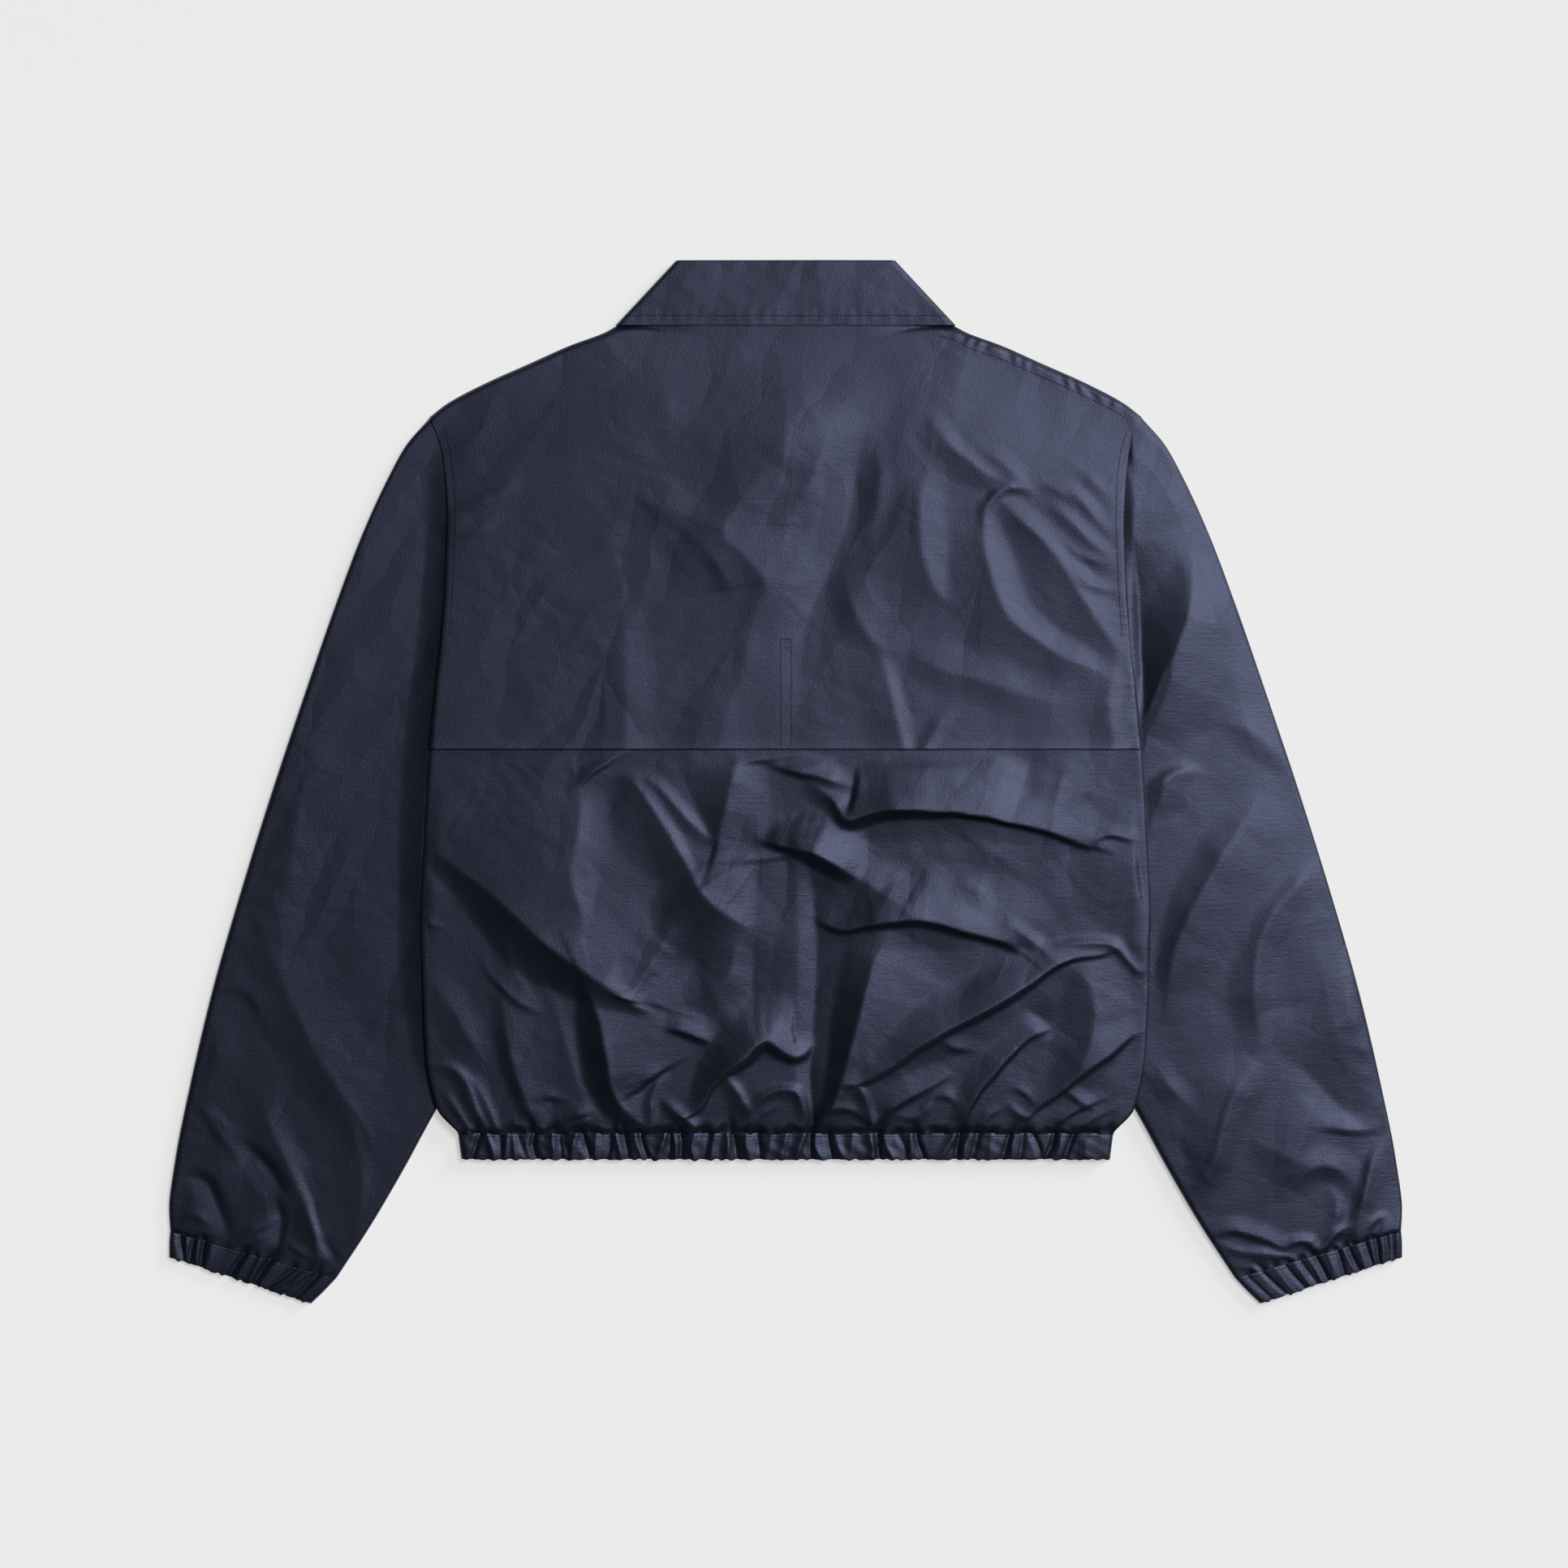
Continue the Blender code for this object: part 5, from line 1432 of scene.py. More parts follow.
@dataclass
class BackYoke(ClothPiece):
    """The cape-like yoke with its free lower edge."""

    outline: BodyOutline
    node: str = "back_yoke"
    cut: Cut = Cut(540.0, 330.0, 0.92, Hold.LAID, ("back_body",))
    low_rows: int = 62
    top_rows: int = 168
    columns: int = 330
    thickness: float = 0.7
    edge_y: float = 24.5
    back_top_y: float = 104.0
    tip_y: float = 269.5
    tip_x: float = 263.0
    neck_y: float = 345.0
    half_width: float = 264.0
    free_level: float = 15.0
    free_reach: float = 90.0
    edge_flip: float = 0.9
    flip_reach: float = 4.0
    level: float = 13.0
    crown: float = 1.4
    armhole_crown: float = 2.6
    crown_rise: Ramp = Ramp(100.0, 80.0)
    hollow: float = -0.8
    top_hollow: float = -4.5
    hollow_rise: Ramp = Ramp(90.0, 40.0)
    side_level: float = 10.8
    armhole_level: float = 9.4
    armhole_reach: float = 36.0
    neck_level: float = 6.9
    front_gap: float = 2.3
    side_roll: float = 3.5
    shoulder_roll: float = 5.0
    neck_rise: float = 95.0
    neck_flat: float = 15.0
    beside_neck: Ramp = Ramp(60.0, 80.0)
    corner_bend: float = 2.0
    swell: Ripple = Ripple(0.10, 70.0, 21)
    crinkle: Ripple = Ripple(0.015, 16.0, 22)
    soften: float = 1.3
    pucker_start: float = 3.0
    side_pucker: float = 0.16
    side_pitch: float = 10.5
    side_strip: float = 8.0
    side_waver: Ripple = Ripple(2.4, 40.0, 23)
    side_patches: Ripple = Ripple(0.7, 55.0, 26)
    shoulder_pucker: float = 0.42
    shoulder_pitch: float = 12.0
    shoulder_inset: float = 5.0
    shoulder_strip: float = 4.5
    shoulder_waver: Ripple = Ripple(2.4, 36.0, 24)
    shoulder_patches: Ripple = Ripple(0.7, 60.0, 25)
    right_shoulder: Ramp = Ramp(100.0, 40.0)
    armhole_row: tuple[float, float] = (107.0, 258.0)
    armhole_inset: float = 6.0
    shoulder_row: tuple[float, float] = (114.0, 250.0)
    shoulder_row_inset: float = 10.5
    tack_x: tuple[float, float] = (-3.6, 4.2)
    tack_y: tuple[float, float] = (26.5, 104.7)
    tack_top_y: float = 105.2
    row_points: int = 80
    tack_points: int = 60
    tack_top_points: int = 6

    def __post_init__(self) -> None:
        """Lays out the creases."""
        box = (-self.half_width, self.edge_y, self.half_width, self.neck_y)
        self.creased = CreaseField(YOKE_CREASES, box, self.soften)

    def top_of(self, x: np.ndarray, y: np.ndarray) -> np.ndarray:
        """Returns the shoulder or neck edge above each point."""
        share = np.clip(np.abs(x) / self.outline.back_half(y), 0.0, 1.0)
        return self.outline.back_top(share * self.tip_x)

    def height(self, x: np.ndarray, y: np.ndarray) -> np.ndarray:
        """Gives the outer face.

        Args:
            x: X of the points.
            y: Y of the points.

        Returns:
            The height of the cloth's outer face at each point.
        """
        across = np.abs(x)
        half = self.outline.back_half(y)
        to_side = np.maximum(half - across, 0.0)
        to_top = np.maximum(self.top_of(x, y) - y, 0.0)
        lift = self.creased.lift(x, y) + self.swell(x, y) + self.crinkle(x, y)
        lift = np.maximum(lift, blend(self.hollow, self.top_hollow, self.hollow_rise(y)))
        crown = blend(self.crown, self.armhole_crown, self.crown_rise(y))
        level = blend(self.free_level, self.level, smooth((y - self.edge_y) / self.free_reach)) + lift
        level -= crown * np.minimum(across / half, 1.0) ** 2
        level += self.edge_flip * np.exp((self.edge_y - y) / self.flip_reach)
        up_armhole = smooth((y - self.back_top_y) / self.armhole_reach)
        edge = blend(self.side_level, self.armhole_level, up_armhole)
        ruck = np.sin(math.tau * y / self.side_pitch + self.side_waver(x, y))
        ruck *= np.exp(-to_side / self.side_strip)
        ruck *= smooth(0.5 + self.side_patches(x, y))
        side = blend(edge, level, roll(to_side / self.side_roll))
        side += self.side_pucker * ruck * smooth(to_side / self.pucker_start)
        neck = 1.0 - self.beside_neck(across)
        front = BodyOutline.over_tucks(x, self.outline.front_top(across)) + self.front_gap
        rim = blend(front, self.neck_level, neck)
        from_top = np.maximum(to_top - self.neck_flat * neck, 0.0)
        ruck = np.sin(math.tau * x / self.shoulder_pitch + self.shoulder_waver(x, y))
        ruck *= np.exp(-((to_top - self.shoulder_inset) / self.shoulder_strip) ** 2)
        ruck *= 0.5 + 0.5 * smooth(0.5 + self.shoulder_patches(x, y))
        top = blend(rim, self.neck_level, roll(from_top / self.shoulder_roll))
        top = blend(top, np.maximum(level, self.neck_level), smooth(from_top / self.neck_rise))
        top += self.right_shoulder(x) * self.shoulder_pucker * ruck * smooth(to_top / self.pucker_start)
        return -np.logaddexp(-self.corner_bend * side, -self.corner_bend * top) / self.corner_bend

    def points(self) -> np.ndarray:
        """Returns rows of points from the free edge to the armholes' foot and on to the shoulders."""
        u = edge_shares(self.columns)[None, :]
        low_y = np.linspace(self.edge_y, self.back_top_y, self.low_rows, endpoint=False)[:, None] + 0.0 * u
        low_x = u * self.outline.back_half(low_y)
        share = np.linspace(0.0, 1.0, self.top_rows)[:, None]
        side_y = blend(self.back_top_y, self.tip_y, share)
        top_x = u * self.outline.back_half(side_y)
        top_y = blend(self.back_top_y, self.outline.back_top(np.abs(u) * self.tip_x), share)
        x = np.vstack([low_x, top_x])
        y = np.vstack([low_y, top_y])
        return np.stack([x, y, self.height(x, y)], axis=2)

    def seams(self) -> list[np.ndarray]:
        """Returns the lines of its sewing: armholes, right shoulder and the centre tack."""
        y = np.linspace(*self.armhole_row, self.row_points)
        rows = [(sign * (self.outline.back_half(y) - self.armhole_inset), y) for sign in (-1.0, 1.0)]
        x = np.linspace(*self.shoulder_row, self.row_points)
        rows.append((x, self.outline.back_top(x) - self.shoulder_row_inset))
        y = np.linspace(*self.tack_y, self.tack_points)
        rows.extend((np.full_like(y, tack_x), y) for tack_x in self.tack_x)
        x = np.linspace(*self.tack_x, self.tack_top_points)
        rows.append((x, np.full_like(x, self.tack_top_y)))
        return [np.stack([x, y, self.height(x, y)], axis=1) for x, y in rows]


@dataclass
class FrontPanel(ClothPiece):
    """One front, lying on the table under the back."""

    outline: BodyOutline
    side: Side
    node: str
    fly_lift: float
    cut: Cut = Cut(292.0, 600.0, 0.82, Hold.LAID, ("floor",))
    rows: int = 96
    columns: int = 54
    thickness: float = 0.7
    hem_y: float = -258.7
    tip_y: float = 269.5
    tip_x: float = 263.0
    clearance: float = 0.08
    swell: float = 0.12
    swell_length: float = 42.0
    swell_seed: int = 31

    def points(self) -> np.ndarray:
        """Returns rows of points on the upper face, from the hem to the neck and shoulder."""
        share = np.linspace(0.0, 1.0, self.rows)[:, None]
        top_x = np.linspace(-FLY, self.tip_x, self.columns)[None, :]
        side_y = blend(self.hem_y, self.tip_y, share)
        x = blend(-FLY, self.outline.front_half(side_y), (top_x + FLY) / (self.tip_x + FLY))
        y = blend(self.hem_y, self.outline.front_top(np.abs(top_x)), share)
        swell = Ripple(self.swell, self.swell_length, self.swell_seed + self.side.value)
        z = BodyOutline.over_tucks(x, y) + self.fly_lift * (1.0 - PAST_FLY(x))
        z += self.thickness + self.clearance + np.abs(swell(x, y))
        points = np.stack([self.side.value * x, y, z], axis=2)
        return points[:, ::-1] if self.side is Side.LEFT else points


@dataclass
class Sleeve(ClothPiece):
    """One sleeve, a flattened tube tucked under the body's side."""

    outline: BodyOutline
    side: Side
    node: str
    creases: tuple[Crease, ...]
    gathers: GatherRow
    level: float
    fold_level: float
    cut: Cut = Cut(480.0, 620.0, 0.72, Hold.LAID, ("floor",))
    rings: int = 300
    upper_count: int = 120
    lower_count: int = 30
    thickness: float = 0.6
    grid_x: tuple[float, float] = (210.0, 460.0)
    grid_y: tuple[float, float] = (-380.0, 270.0)
    length: float = 640.0
    end_level: float = 5.4
    cuff_end: Ramp = Ramp(0.86, 0.14)
    fold_reach: float = 140.0
    fold_start: Ramp = Ramp(0.02, 0.38)
    fold_slack: float = 0.4
    fold_hold: float = 40.0
    tucked_level: float = 3.2
    armhole_level: float = 5.4
    up_armhole: Ramp = Ramp(70.0, 50.0)
    out_of_tuck: Ramp = Ramp(-30.0, 24.0)
    crease_start: Ramp = Ramp(-12.0, 12.0)
    roof: float = 8.5
    roof_slope: float = 0.12
    roof_inset: float = 1.0
    gather_inset: float = 30.0
    least: float = 2.6
    tuck: float = 1.4
    gap: float = 0.3
    hug_steps: tuple[float, ...] = (0.0, 1.0, 2.0)
    hug_shares: tuple[float, ...] = (1.0, 0.35, 0.0)
    swell_size: float = 0.10
    swell_length: float = 60.0
    crinkle_size: float = 0.015
    crinkle_length: float = 18.0
    swell_seed: int = 41
    crinkle_seed: int = 45
    soften: float = 1.0

    wraps = True

    def __post_init__(self) -> None:
        """Lays out the creases and fits the folds' lines."""
        low_x, high_x = sorted(self.side.value * x for x in self.grid_x)
        low_y, high_y = self.grid_y
        self.creased = CreaseField(self.creases, (low_x, low_y, high_x, high_y), self.soften)
        side = self.side.value
        self.swell = Ripple(self.swell_size, self.swell_length, self.swell_seed + side)
        self.crinkle = Ripple(self.crinkle_size, self.crinkle_length, self.crinkle_seed + side)
        steps = np.arange(len(SLEEVE_STATIONS), dtype=float)
        self.lines = [TableCurve(tuple(steps), column) for column in columns_of(SLEEVE_STATIONS)]

    def height(
        self, x: np.ndarray, y: np.ndarray, end: np.ndarray, across: np.ndarray, width: np.ndarray
    ) -> np.ndarray:
        """Gives the upper face.

        Args:
            x: X of the points.
            y: Y of the points.
            end: share of the way down the sleeve.
            across: share of the way from the outer fold to the inner one.
            width: the sleeve's width at each ring.

        Returns:
            The height of the upper face over the table.
        """
        beyond = np.abs(x) - self.outline.back_half(y)
        to_outer = across * width
        to_fold = np.minimum(to_outer, (1.0 - across) * width)
        start = blend(self.tucked_level, self.armhole_level, self.up_armhole(y))
        lift = self.creased.lift(x, y) + self.swell(x, y) + self.crinkle(x, y)
        rest = np.clip(1.0 - to_outer / self.fold_reach, 0.0, 1.0)
        level = blend(self.level, self.fold_level, rest * rest * self.fold_start(end))
        level = blend(level, self.end_level, self.cuff_end(end))
        height = blend(np.minimum(start, level), level, self.out_of_tuck(beyond))
        slack = np.minimum(self.fold_slack + to_fold / self.fold_hold, 1.0)
        height += lift * slack * self.crease_start(beyond)
        roof = self.roof + self.roof_slope * np.maximum(beyond - self.roof_inset, 0.0)
        away = (1.0 - end) * self.length
        dip = self.gathers.dip(across * CUFF_WIDTH, away) * smooth(beyond / self.gather_inset)
        return np.maximum(np.minimum(height, roof) - dip, self.least)

    def points(self) -> np.ndarray:
        """Returns rings of points from the armhole to the cuff seam."""
        end = np.linspace(0.0, 1.0, self.rings)
        step = end * (len(SLEEVE_STATIONS) - 1.0)
        ox, oy, ix, iy = (line(step) for line in self.lines)
        across, upper = tube_loop(self.rings, self.upper_count, self.lower_count)
        hug = np.interp(step, self.hug_steps, self.hug_shares)[:, None]
        seam_y = blend(oy[0], iy[0], across)
        seam_x = np.maximum(self.outline.back_half(seam_y), self.outline.front_half(seam_y))
        seam_x += np.where(upper, -self.tuck, self.gap)
        bend = hug * (seam_x - blend(ox[0], ix[0], across))
        x = blend(ox[:, None], ix[:, None], across) + bend
        y = blend(oy[:, None], iy[:, None], across)
        width = np.hypot(ox - ix, oy - iy)[:, None]
        down = end[:, None] + 0.0 * across
        height = self.height(self.side.value * x, y, down, across, width)
        outer = np.stack([ox, oy], axis=1)[:, None, :]
        inner = np.stack([ix, iy], axis=1)[:, None, :]
        points = tube_face(outer, inner, across, upper, height)
        points[..., 0] = self.side.value * (points[..., 0] + bend)
        return points


@dataclass
class Cuff(ClothPiece):
    """One elastic cuff, a gathered casing round the sleeve's end."""

    side: Side
    node: str
    casing: Casing
    cut: Cut = Cut(252.0, 21.0, 1.0, Hold.GATHERED, ("floor",))
    rings: int = 18
    upper_count: int = 150
    lower_count: int = 44
    thickness: float = 1.1
    level: float = 5.4
    least: float = 2.0
    rim_drop: float = 0.05
    fold_fade: float = 0.03
    under_share: float = 0.15
    fray: float = 0.7
    fray_pull: float = 0.5
    edge_change: Ripple = Ripple(0.8, 6.0, 63)
    seam_line: float = 2.2
    seam_ends: tuple[float, float] = (0.03, 0.97)
    seam_points: int = 140

    wraps = True

    def face(self, share: np.ndarray, across: np.ndarray, upper: np.ndarray) -> np.ndarray:
        """Gives points on the cuff.

        Args:
            share: share of the way from the sleeve seam to the opening.
            across: share of the way from the outer fold to the inner one.
            upper: whether each point is on the upper half.

        Returns:
            The points.
        """
        lines = [TableCurve((0.0, 0.5, 1.0), column) for column in columns_of(CUFF_STATIONS)]
        ox, oy, ix, iy = (line(share) for line in lines)
        along = across * CUFF_WIDTH
        rim = 1.0 - self.rim_drop * (2.0 * share - 1.0) ** 4
        lift = self.casing.lift(along, share) * smooth(np.minimum(across, 1.0 - across) / self.fold_fade)
        height = np.maximum(self.level * rim + lift * np.where(upper, 1.0, self.under_share), self.least)
        fray = self.fray * share * (self.edge_change(along, 0.0 * along) - self.fray_pull * lift)
        fray = np.where(upper, fray, 0.0)
        outer = np.stack([ox, oy + fray], axis=-1)
        inner = np.stack([ix, iy + fray], axis=-1)
        points = tube_face(outer, inner, across, upper, height)
        points[..., 0] *= self.side.value
        return points

    def points(self) -> np.ndarray:
        """Returns rings of points from the sleeve seam to the opening."""
        across, upper = tube_loop(self.rings, self.upper_count, self.lower_count)
        share = np.linspace(0.0, 1.0, self.rings)[:, None] + 0.0 * across
        return self.face(share, across, upper)

    def seams(self) -> list[np.ndarray]:
        """Returns the line of stitches that closes the casing."""
        across = np.linspace(*self.seam_ends, self.seam_points)
        share = np.full_like(across, self.seam_line / CUFF_DEPTH)
        return [self.face(share, across, np.ones(across.shape, bool))]


@dataclass
class HemBand(ClothPiece):
    """The elastic hem, a gathered casing open at the centre front."""

    casing: Casing
    node: str = "hem_band"
    cut: Cut = Cut(1000.0, 20.0, 1.0, Hold.GATHERED, ("floor",))
    rings: int = 17
    upper_count: int = 480
    lower_count: int = 70
    thickness: float = 1.1
    top_y: float = -259.0
    bottom_y: float = -278.6
    top_half: float = 242.0
    bottom_half: float = 239.5
    level: float = 8.4
    least: float = 2.6
    rim_drop: float = 0.06
    fold_fade: float = 0.012
    under_share: float = 0.12
    scallop: Ripple = Ripple(0.5, 7.0, 62)
    scallop_pull: float = 0.32
    crinkle: Ripple = Ripple(0.15, 11.0, 61)
    fly_lift: float = 1.8
    seam_share: float = 0.12
    seam_ends: tuple[float, float] = (0.02, 0.98)
    seam_points: int = 480

    def face(self, share: np.ndarray, across: np.ndarray, upper: np.ndarray) -> np.ndarray:
        """Gives points on the band.

        Args:
            share: share of the way from the body seam to the lower edge.
            across: share of the way from the left side fold to the right one.
            upper: whether each point is on the upper half.

        Returns:
            The points.
        """
        half = blend(self.top_half, self.bottom_half, share)
        x = half * (2.0 * across - 1.0)
        lift = self.casing.lift(x, share) * smooth(np.minimum(across, 1.0 - across) / self.fold_fade)
        scallop = np.where(upper, self.scallop(x, 0.0 * x) - self.scallop_pull * lift, 0.0)
        y = blend(self.top_y, self.bottom_y + scallop, share)
        rim = 1.0 - self.rim_drop * (2.0 * share - 1.0) ** 4
        height = self.level * rim + lift * np.where(upper, 1.0, self.under_share)
        height = np.maximum(height + self.crinkle(x, share * HEM_DEPTH), self.least)
        outer = np.stack([-half, y], axis=-1)
        inner = np.stack([half, y], axis=-1)
        return tube_face(outer, inner, across, upper, height)

    def points(self) -> np.ndarray:
        """Returns rows of points from one end at the front, over the back, to the other end."""
        near = np.array(BAND_STEPS)
        first, last = BAND_MIDDLE
        back = np.concatenate([near, np.linspace(first, last, self.upper_count), 1.0 - near[::-1]])
        overlap = 0.5 * FLY / self.top_half
        to_left = np.linspace(0.5 + overlap, first, self.lower_count)
        from_right = np.linspace(last, 0.5 - overlap, self.lower_count)
        under_left = np.concatenate([to_left, near[:0:-1]])
        under_right = np.concatenate([1.0 - near[1:], from_right])
        loop = np.concatenate([under_left, back, under_right])
        back_end = len(under_left) + len(back)
        upper = np.zeros(len(loop), bool)
        upper[len(under_left):back_end] = True
        share = np.linspace(1.0, 0.0, self.rings)[:, None] + 0.0 * loop[None, :]
        across = loop[None, :] + 0.0 * share
        points = self.face(share, across, upper[None, :] & np.ones(share.shape, bool))
        right = points[:, back_end:]
        right[..., 2] += self.fly_lift * (1.0 - PAST_FLY(right[..., 0]))
        return points

    def seams(self) -> list[np.ndarray]:
        """Returns the line of stitches that closes the casing."""
        across = np.linspace(*self.seam_ends, self.seam_points)
        share = np.full_like(across, self.seam_share)
        return [self.face(share, across, np.ones(across.shape, bool))]


@dataclass
class Collar:
    """The turned-down fall and the stand inside it."""

    outline: BodyOutline
    fall_cut: Cut = Cut(640.0, 52.0, 0.86, Hold.LAID, ("back_yoke", "floor"))
    stand_cut: Cut = Cut(560.0, 42.0, 0.62, Hold.LAID, ("collar_fall",))
    back_columns: int = 46
    fold_columns: int = 12
    front_columns: int = 40
    fall_rows: int = 20
    roll_rows: int = 9
    stand_rows: int = 10
    thickness: float = 0.8
    layer: float = 1.6
    gap: float = 0.3
    top: float = 8.6
    roll_y: float = 383.75
    edge_y: float = 337.0
    seam_y: float = 344.9
    roll_half: float = 82.0
    edge_half: float = 125.6
    seam_half: float = 97.0
    seam_rise: float = 1.4
    centre_share: float = 0.02
    fall_start: float = 0.05
    stand_start: float = 0.03
    swell: Ripple = Ripple(0.28, 66.0, 71)
    crinkle: Ripple = Ripple(0.04, 15.0, 72)
    swell_limits: tuple[float, float] = (-0.4, 0.8)
    pucker: float = 0.10
    pucker_pitch: float = 9.0
    pucker_waver: Ripple = Ripple(1.5, 30.0, 73)
    pucker_strip: float = 6.0
    fall_depth: float = 48.0
    stitch_inset: float = 7.0
    stitch_depth: float = 47.0
    stitch_level: float = 0.2

    def __post_init__(self) -> None:
        """Lays out the columns from the left front end round the back to the right one."""
        radius = 0.5 * self.top
        sides = np.array([
            (self.seam_half - radius, self.seam_y),
            (self.roll_half - radius, self.roll_y),
            (self.edge_half - radius, self.edge_y),
        ])
        shares = np.linspace(self.centre_share, 1.0, self.back_columns)
        right = [(sides * np.array([share, 1.0]), 0.0) for share in shares]
        right += [(sides, turn) for turn in np.linspace(0.0, math.pi, self.fold_columns)[1:]]
        steps = tuple(range(len(LAPELS)))
        curves = [TableCurve(steps, column) for column in columns_of(LAPELS)]
        for step in np.linspace(0.0, len(LAPELS) - 1.0, self.front_columns):
            neck_x, roll_x, roll_y, edge_x, edge_y = (float(curve(step)) for curve in curves)
            neck_y = float(self.outline.front_top(neck_x)) + self.seam_rise
            right.append((np.array([(neck_x, neck_y), (roll_x, roll_y), (edge_x, edge_y)]), math.pi))
        columns = right[::-1] + right
        self.places = np.array([place for place, turn in columns])
        self.turns = np.array([turn for place, turn in columns])
        self.signs = np.repeat([-1.0, 1.0], len(right))

    def face(self, target: int, share: float, rise: float, depth: float) -> np.ndarray:
        """Gives one row of points.

        Args:
            target: 0 to go from the roll line to the neck seam, 2 to the free edge.
            share: how far to go.
            rise: distance above the roll line, away from the neck.
            depth: distance in from the collar's outside.

        Returns:
            The row's points.
        """
        up = self.places[:, 1] - self.places[:, 0]
        up = up / np.linalg.norm(up, axis=1)[:, None]
        place = blend(self.places[:, 1], self.places[:, target], share) + up * rise
        radius = 0.5 * self.top - depth
        x = self.signs * (place[:, 0] + radius * np.sin(self.turns))
        y = place[:, 1]
        z = 0.5 * self.top + radius * np.cos(self.turns)
        flat = np.maximum(np.cos(self.turns), 0.0)
        swell = np.clip(self.swell(x, y) + self.crinkle(x, y), *self.swell_limits)
        ruck = np.sin(math.tau * x / self.pucker_pitch + self.pucker_waver(x, y))
        from_stitches = ((1.0 - share) * self.fall_depth - self.stitch_inset) / self.pucker_strip
        edge = math.exp(-from_stitches ** 2) if target == 2 else 0.0
        z = z + flat * (swell + self.pucker * edge * ruck)
        return np.stack([x, y, z], axis=1)

    def build(self, cloth: bpy.types.Material) -> list[bpy.types.Object]:
        """Makes the fall and the stand.

        Args:
            cloth: their material.

        Returns:
            The dressed pieces.
        """
        fall_shares = np.linspace(1.0, self.fall_start, self.fall_rows)
        rows = [self.face(2, share, 0.0, 0.0) for share in fall_shares]
        middle = 0.5 * self.layer + 0.5 * self.thickness
        for angle in np.linspace(0.0, math.pi, self.roll_rows):
            rows.append(self.face(2, 0.0, middle * math.sin(angle), middle * (1.0 - math.cos(angle))))
        fall = lay_cloth("collar_fall_cloth", np.array(rows), self.thickness, False)
        dress(fall, "collar_fall", cloth)
        depth = self.layer + self.thickness + self.gap
        stand_shares = np.linspace(1.0, self.stand_start, self.stand_rows)
        rows = [self.face(0, share, 0.0, depth) for share in stand_shares]
        stand = lay_cloth("collar_stand_cloth", np.array(rows), self.thickness, False)
        dress(stand, "collar_stand", cloth)
        return [fall, stand]

    def seams(self) -> list[np.ndarray]:
        """Returns the line of stitches along the fall's free edge."""
        line = self.face(2, 1.0 - self.stitch_inset / self.stitch_depth, 0.0, 0.0)
        return [line[np.cos(self.turns) > self.stitch_level]]


@dataclass
class Stitching:
    """Rows of lockstitches, each a small spindle of thread."""

    name: str
    pitch: float = 2.1
    length: float = 1.3
    thick: float = 0.8
    sink: float = 0.2
    probe: float = 0.5

    def build(self, lines: list[np.ndarray], thread: bpy.types.Material) -> bpy.types.Object:
        """Makes the rows as one piece.

        Args:
            lines: points along each row, on the cloth's face.
            thread: the material.

        Returns:
            The piece.
        """
        corners, faces = self._spindle()
        points = []
        polygons = []
        for line in lines:
            run = np.concatenate([[0.0], np.cumsum(np.linalg.norm(np.diff(line, axis=0), axis=1))])
            for along in np.arange(0.5 * self.pitch, run[-1], self.pitch):
                here, ahead = (
                    np.array([np.interp(at, run, line[:, axis]) for axis in range(3)])
                    for at in (along - self.probe, along + self.probe)
                )
                forward = (ahead - here) / np.linalg.norm(ahead - here)
                aside = np.cross([0.0, 0.0, 1.0], forward)
                aside /= np.linalg.norm(aside)
                turn = np.stack([forward, aside, np.cross(forward, aside)])
                base = len(points) * len(corners)
                points.append(0.5 * (here + ahead) + corners @ turn + [0.0, 0.0, self.sink])
                polygons.extend([[base + index for index in face] for face in faces])
        mesh = bpy.data.meshes.new(self.name)
        mesh.from_pydata((np.concatenate(points) * MM).tolist(), [], polygons)
        mesh.materials.append(thread)
        piece = bpy.data.objects.new(self.name, mesh)
        bpy.context.scene.collection.objects.link(piece)
        bpy.ops.object.select_all(action="DESELECT")
        piece.select_set(True)
        bpy.context.view_layer.objects.active = piece
        bpy.ops.object.shade_smooth()
        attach(piece, ROOT)
        LOG.info("%s: %d stitches", self.name, len(points))
        return piece

    def _spindle(self) -> tuple[np.ndarray, list[list[int]]]:
        """Returns the corners and faces of one stitch along X."""
        bpy.ops.object.select_all(action="DESELECT")
        bpy.ops.mesh.primitive_uv_sphere_add(segments=6, ring_count=4, radius=0.5)
        ball = bpy.context.active_object
        bpy.ops.object.mode_set(mode="EDIT")
        bpy.ops.mesh.select_all(action="SELECT")
        bpy.ops.transform.resize(value=(self.thick, self.thick, self.length))
        bpy.ops.object.mode_set(mode="OBJECT")
        corners = np.array([(v.co.z, v.co.x, v.co.y) for v in ball.data.vertices])
        faces = [list(face.vertices) for face in ball.data.polygons]
        spare = ball.data
        bpy.data.objects.remove(ball, do_unlink=True)
        bpy.data.meshes.remove(spare)
        return corners, faces


# Studio


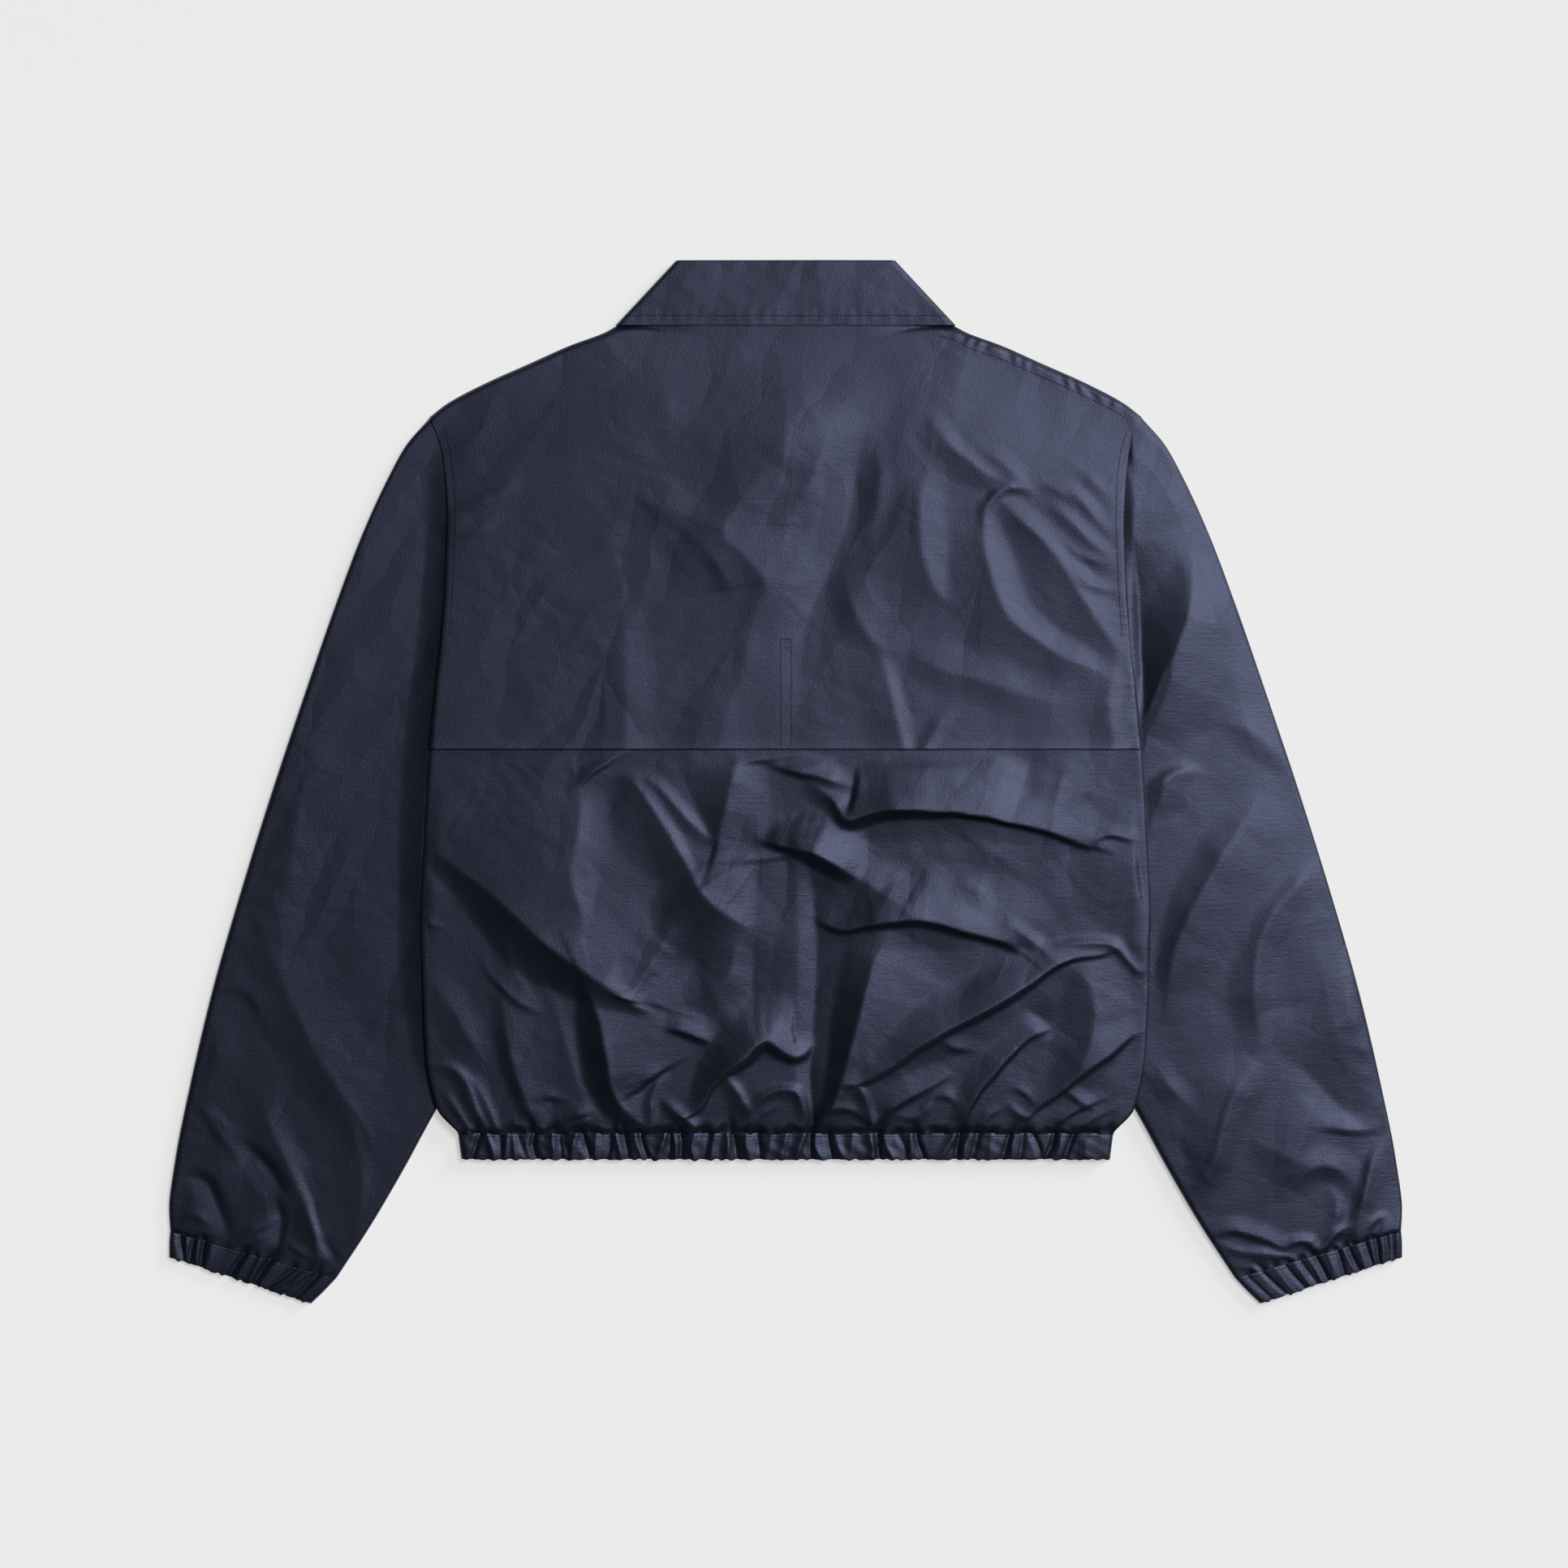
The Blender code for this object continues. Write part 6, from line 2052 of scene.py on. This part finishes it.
@dataclass
class Studio:
    """Pale floor, soft light from the upper right, and the camera straight above."""

    floor_size: float = 9.0
    floor_drop: float = 0.4
    key_size: float = 2.6
    key_power: float = 205.0
    key_place: tuple[float, float, float] = (2.3, 1.5, 5.4)
    side_size: float = 3.0
    side_power: float = 210.0
    side_place: tuple[float, float, float] = (5.2, 3.8, 2.5)
    sky_strength: float = 0.028
    lens: float = 100.0
    sensor: float = 36.0
    sight: float = 50.0
    camera_height: float = 3.22
    aim: tuple[float, float] = (-0.0012, -0.0015)

    def build(self) -> None:
        """Makes the floor, the lights and the camera."""
        bpy.ops.object.select_all(action="DESELECT")
        bpy.ops.mesh.primitive_plane_add(size=self.floor_size, location=(0.0, 0.0, 0.0))
        floor = bpy.context.active_object
        floor.name = "floor"
        bpy.ops.object.mode_set(mode="EDIT")
        bpy.ops.mesh.select_all(action="SELECT")
        bpy.ops.transform.translate(value=(0.0, 0.0, -self.floor_drop * MM))
        bpy.ops.object.mode_set(mode="OBJECT")
        floor.data.materials.append(PaleFloor().material())
        self._softbox("key", self.key_size, self.key_power, self.key_place)
        self._softbox("side", self.side_size, self.side_power, self.side_place)
        world = bpy.data.worlds.new("studio")
        world.use_nodes = True
        back = world.node_tree.nodes["Background"]
        back.inputs["Color"].default_value = (1.0, 1.0, 1.0, 1.0)
        back.inputs["Strength"].default_value = self.sky_strength
        bpy.context.scene.world = world
        lens = bpy.data.cameras.new("camera")
        lens.lens = self.lens
        lens.sensor_width = self.sensor
        lens.clip_end = self.sight
        camera = bpy.data.objects.new("camera", lens)
        camera.location = (*self.aim, self.camera_height)
        bpy.context.scene.collection.objects.link(camera)
        bpy.context.scene.camera = camera
        bpy.context.scene.view_settings.view_transform = "Standard"

    @staticmethod
    def _softbox(name: str, size: float, power: float, place: tuple[float, float, float]) -> None:
        """Hangs a round softbox that faces the jacket."""
        lamp = bpy.data.lights.new(name, "AREA")
        lamp.shape = "DISK"
        lamp.size = size
        lamp.energy = power
        softbox = bpy.data.objects.new(name, lamp)
        softbox.location = place
        softbox.rotation_euler = Vector(place).to_track_quat("Z", "Y").to_euler()
        bpy.context.scene.collection.objects.link(softbox)


def main() -> None:
    """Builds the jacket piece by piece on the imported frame, then the studio."""
    logging.basicConfig(level=logging.INFO, format="%(name)s: %(message)s")
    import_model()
    cloth = Taffeta().material()
    thread = Thread().material()
    outline = BodyOutline()
    left_gathers = GatherRow(LEFT_CUFF_GATHERS)
    right_gathers = GatherRow(RIGHT_CUFF_GATHERS)
    left_sleeve = (outline, Side.LEFT, "left_sleeve", LEFT_SLEEVE_CREASES, left_gathers)
    right_sleeve = (outline, Side.RIGHT, "right_sleeve", RIGHT_SLEEVE_CREASES, right_gathers)
    yoke = BackYoke(outline)
    left_cuff = Cuff(Side.LEFT, "left_cuff", Casing(LEFT_CUFF_PINCHES, 0.0, CUFF_WIDTH, CUFF_DEPTH))
    right_cuff = Cuff(Side.RIGHT, "right_cuff", Casing(RIGHT_CUFF_PINCHES, 0.0, CUFF_WIDTH, CUFF_DEPTH))
    hem = HemBand(Casing(HEM_PINCHES, -HEM_REACH, HEM_REACH, HEM_DEPTH))
    collar = Collar(outline)
    pieces = (
        FrontPanel(outline, Side.LEFT, "left_front", fly_lift=0.0),
        FrontPanel(outline, Side.RIGHT, "right_front", fly_lift=1.6),
        BackBody(outline, GatherRow(HEM_GATHERS)),
        yoke,
        Sleeve(*left_sleeve, level=5.2, fold_level=6.2),
        Sleeve(*right_sleeve, level=6.3, fold_level=2.9),
        left_cuff,
        right_cuff,
        hem,
        collar,
    )
    for piece in pieces:
        piece.build(cloth)
    rows = {
        "yoke_stitches": yoke.seams(),
        "collar_stitches": collar.seams(),
        "hem_stitches": hem.seams(),
        "cuff_stitches": left_cuff.seams() + right_cuff.seams(),
    }
    for name, lines in rows.items():
        Stitching(name).build(lines, thread)
    Studio().build()


if __name__ == "__main__":
    main()
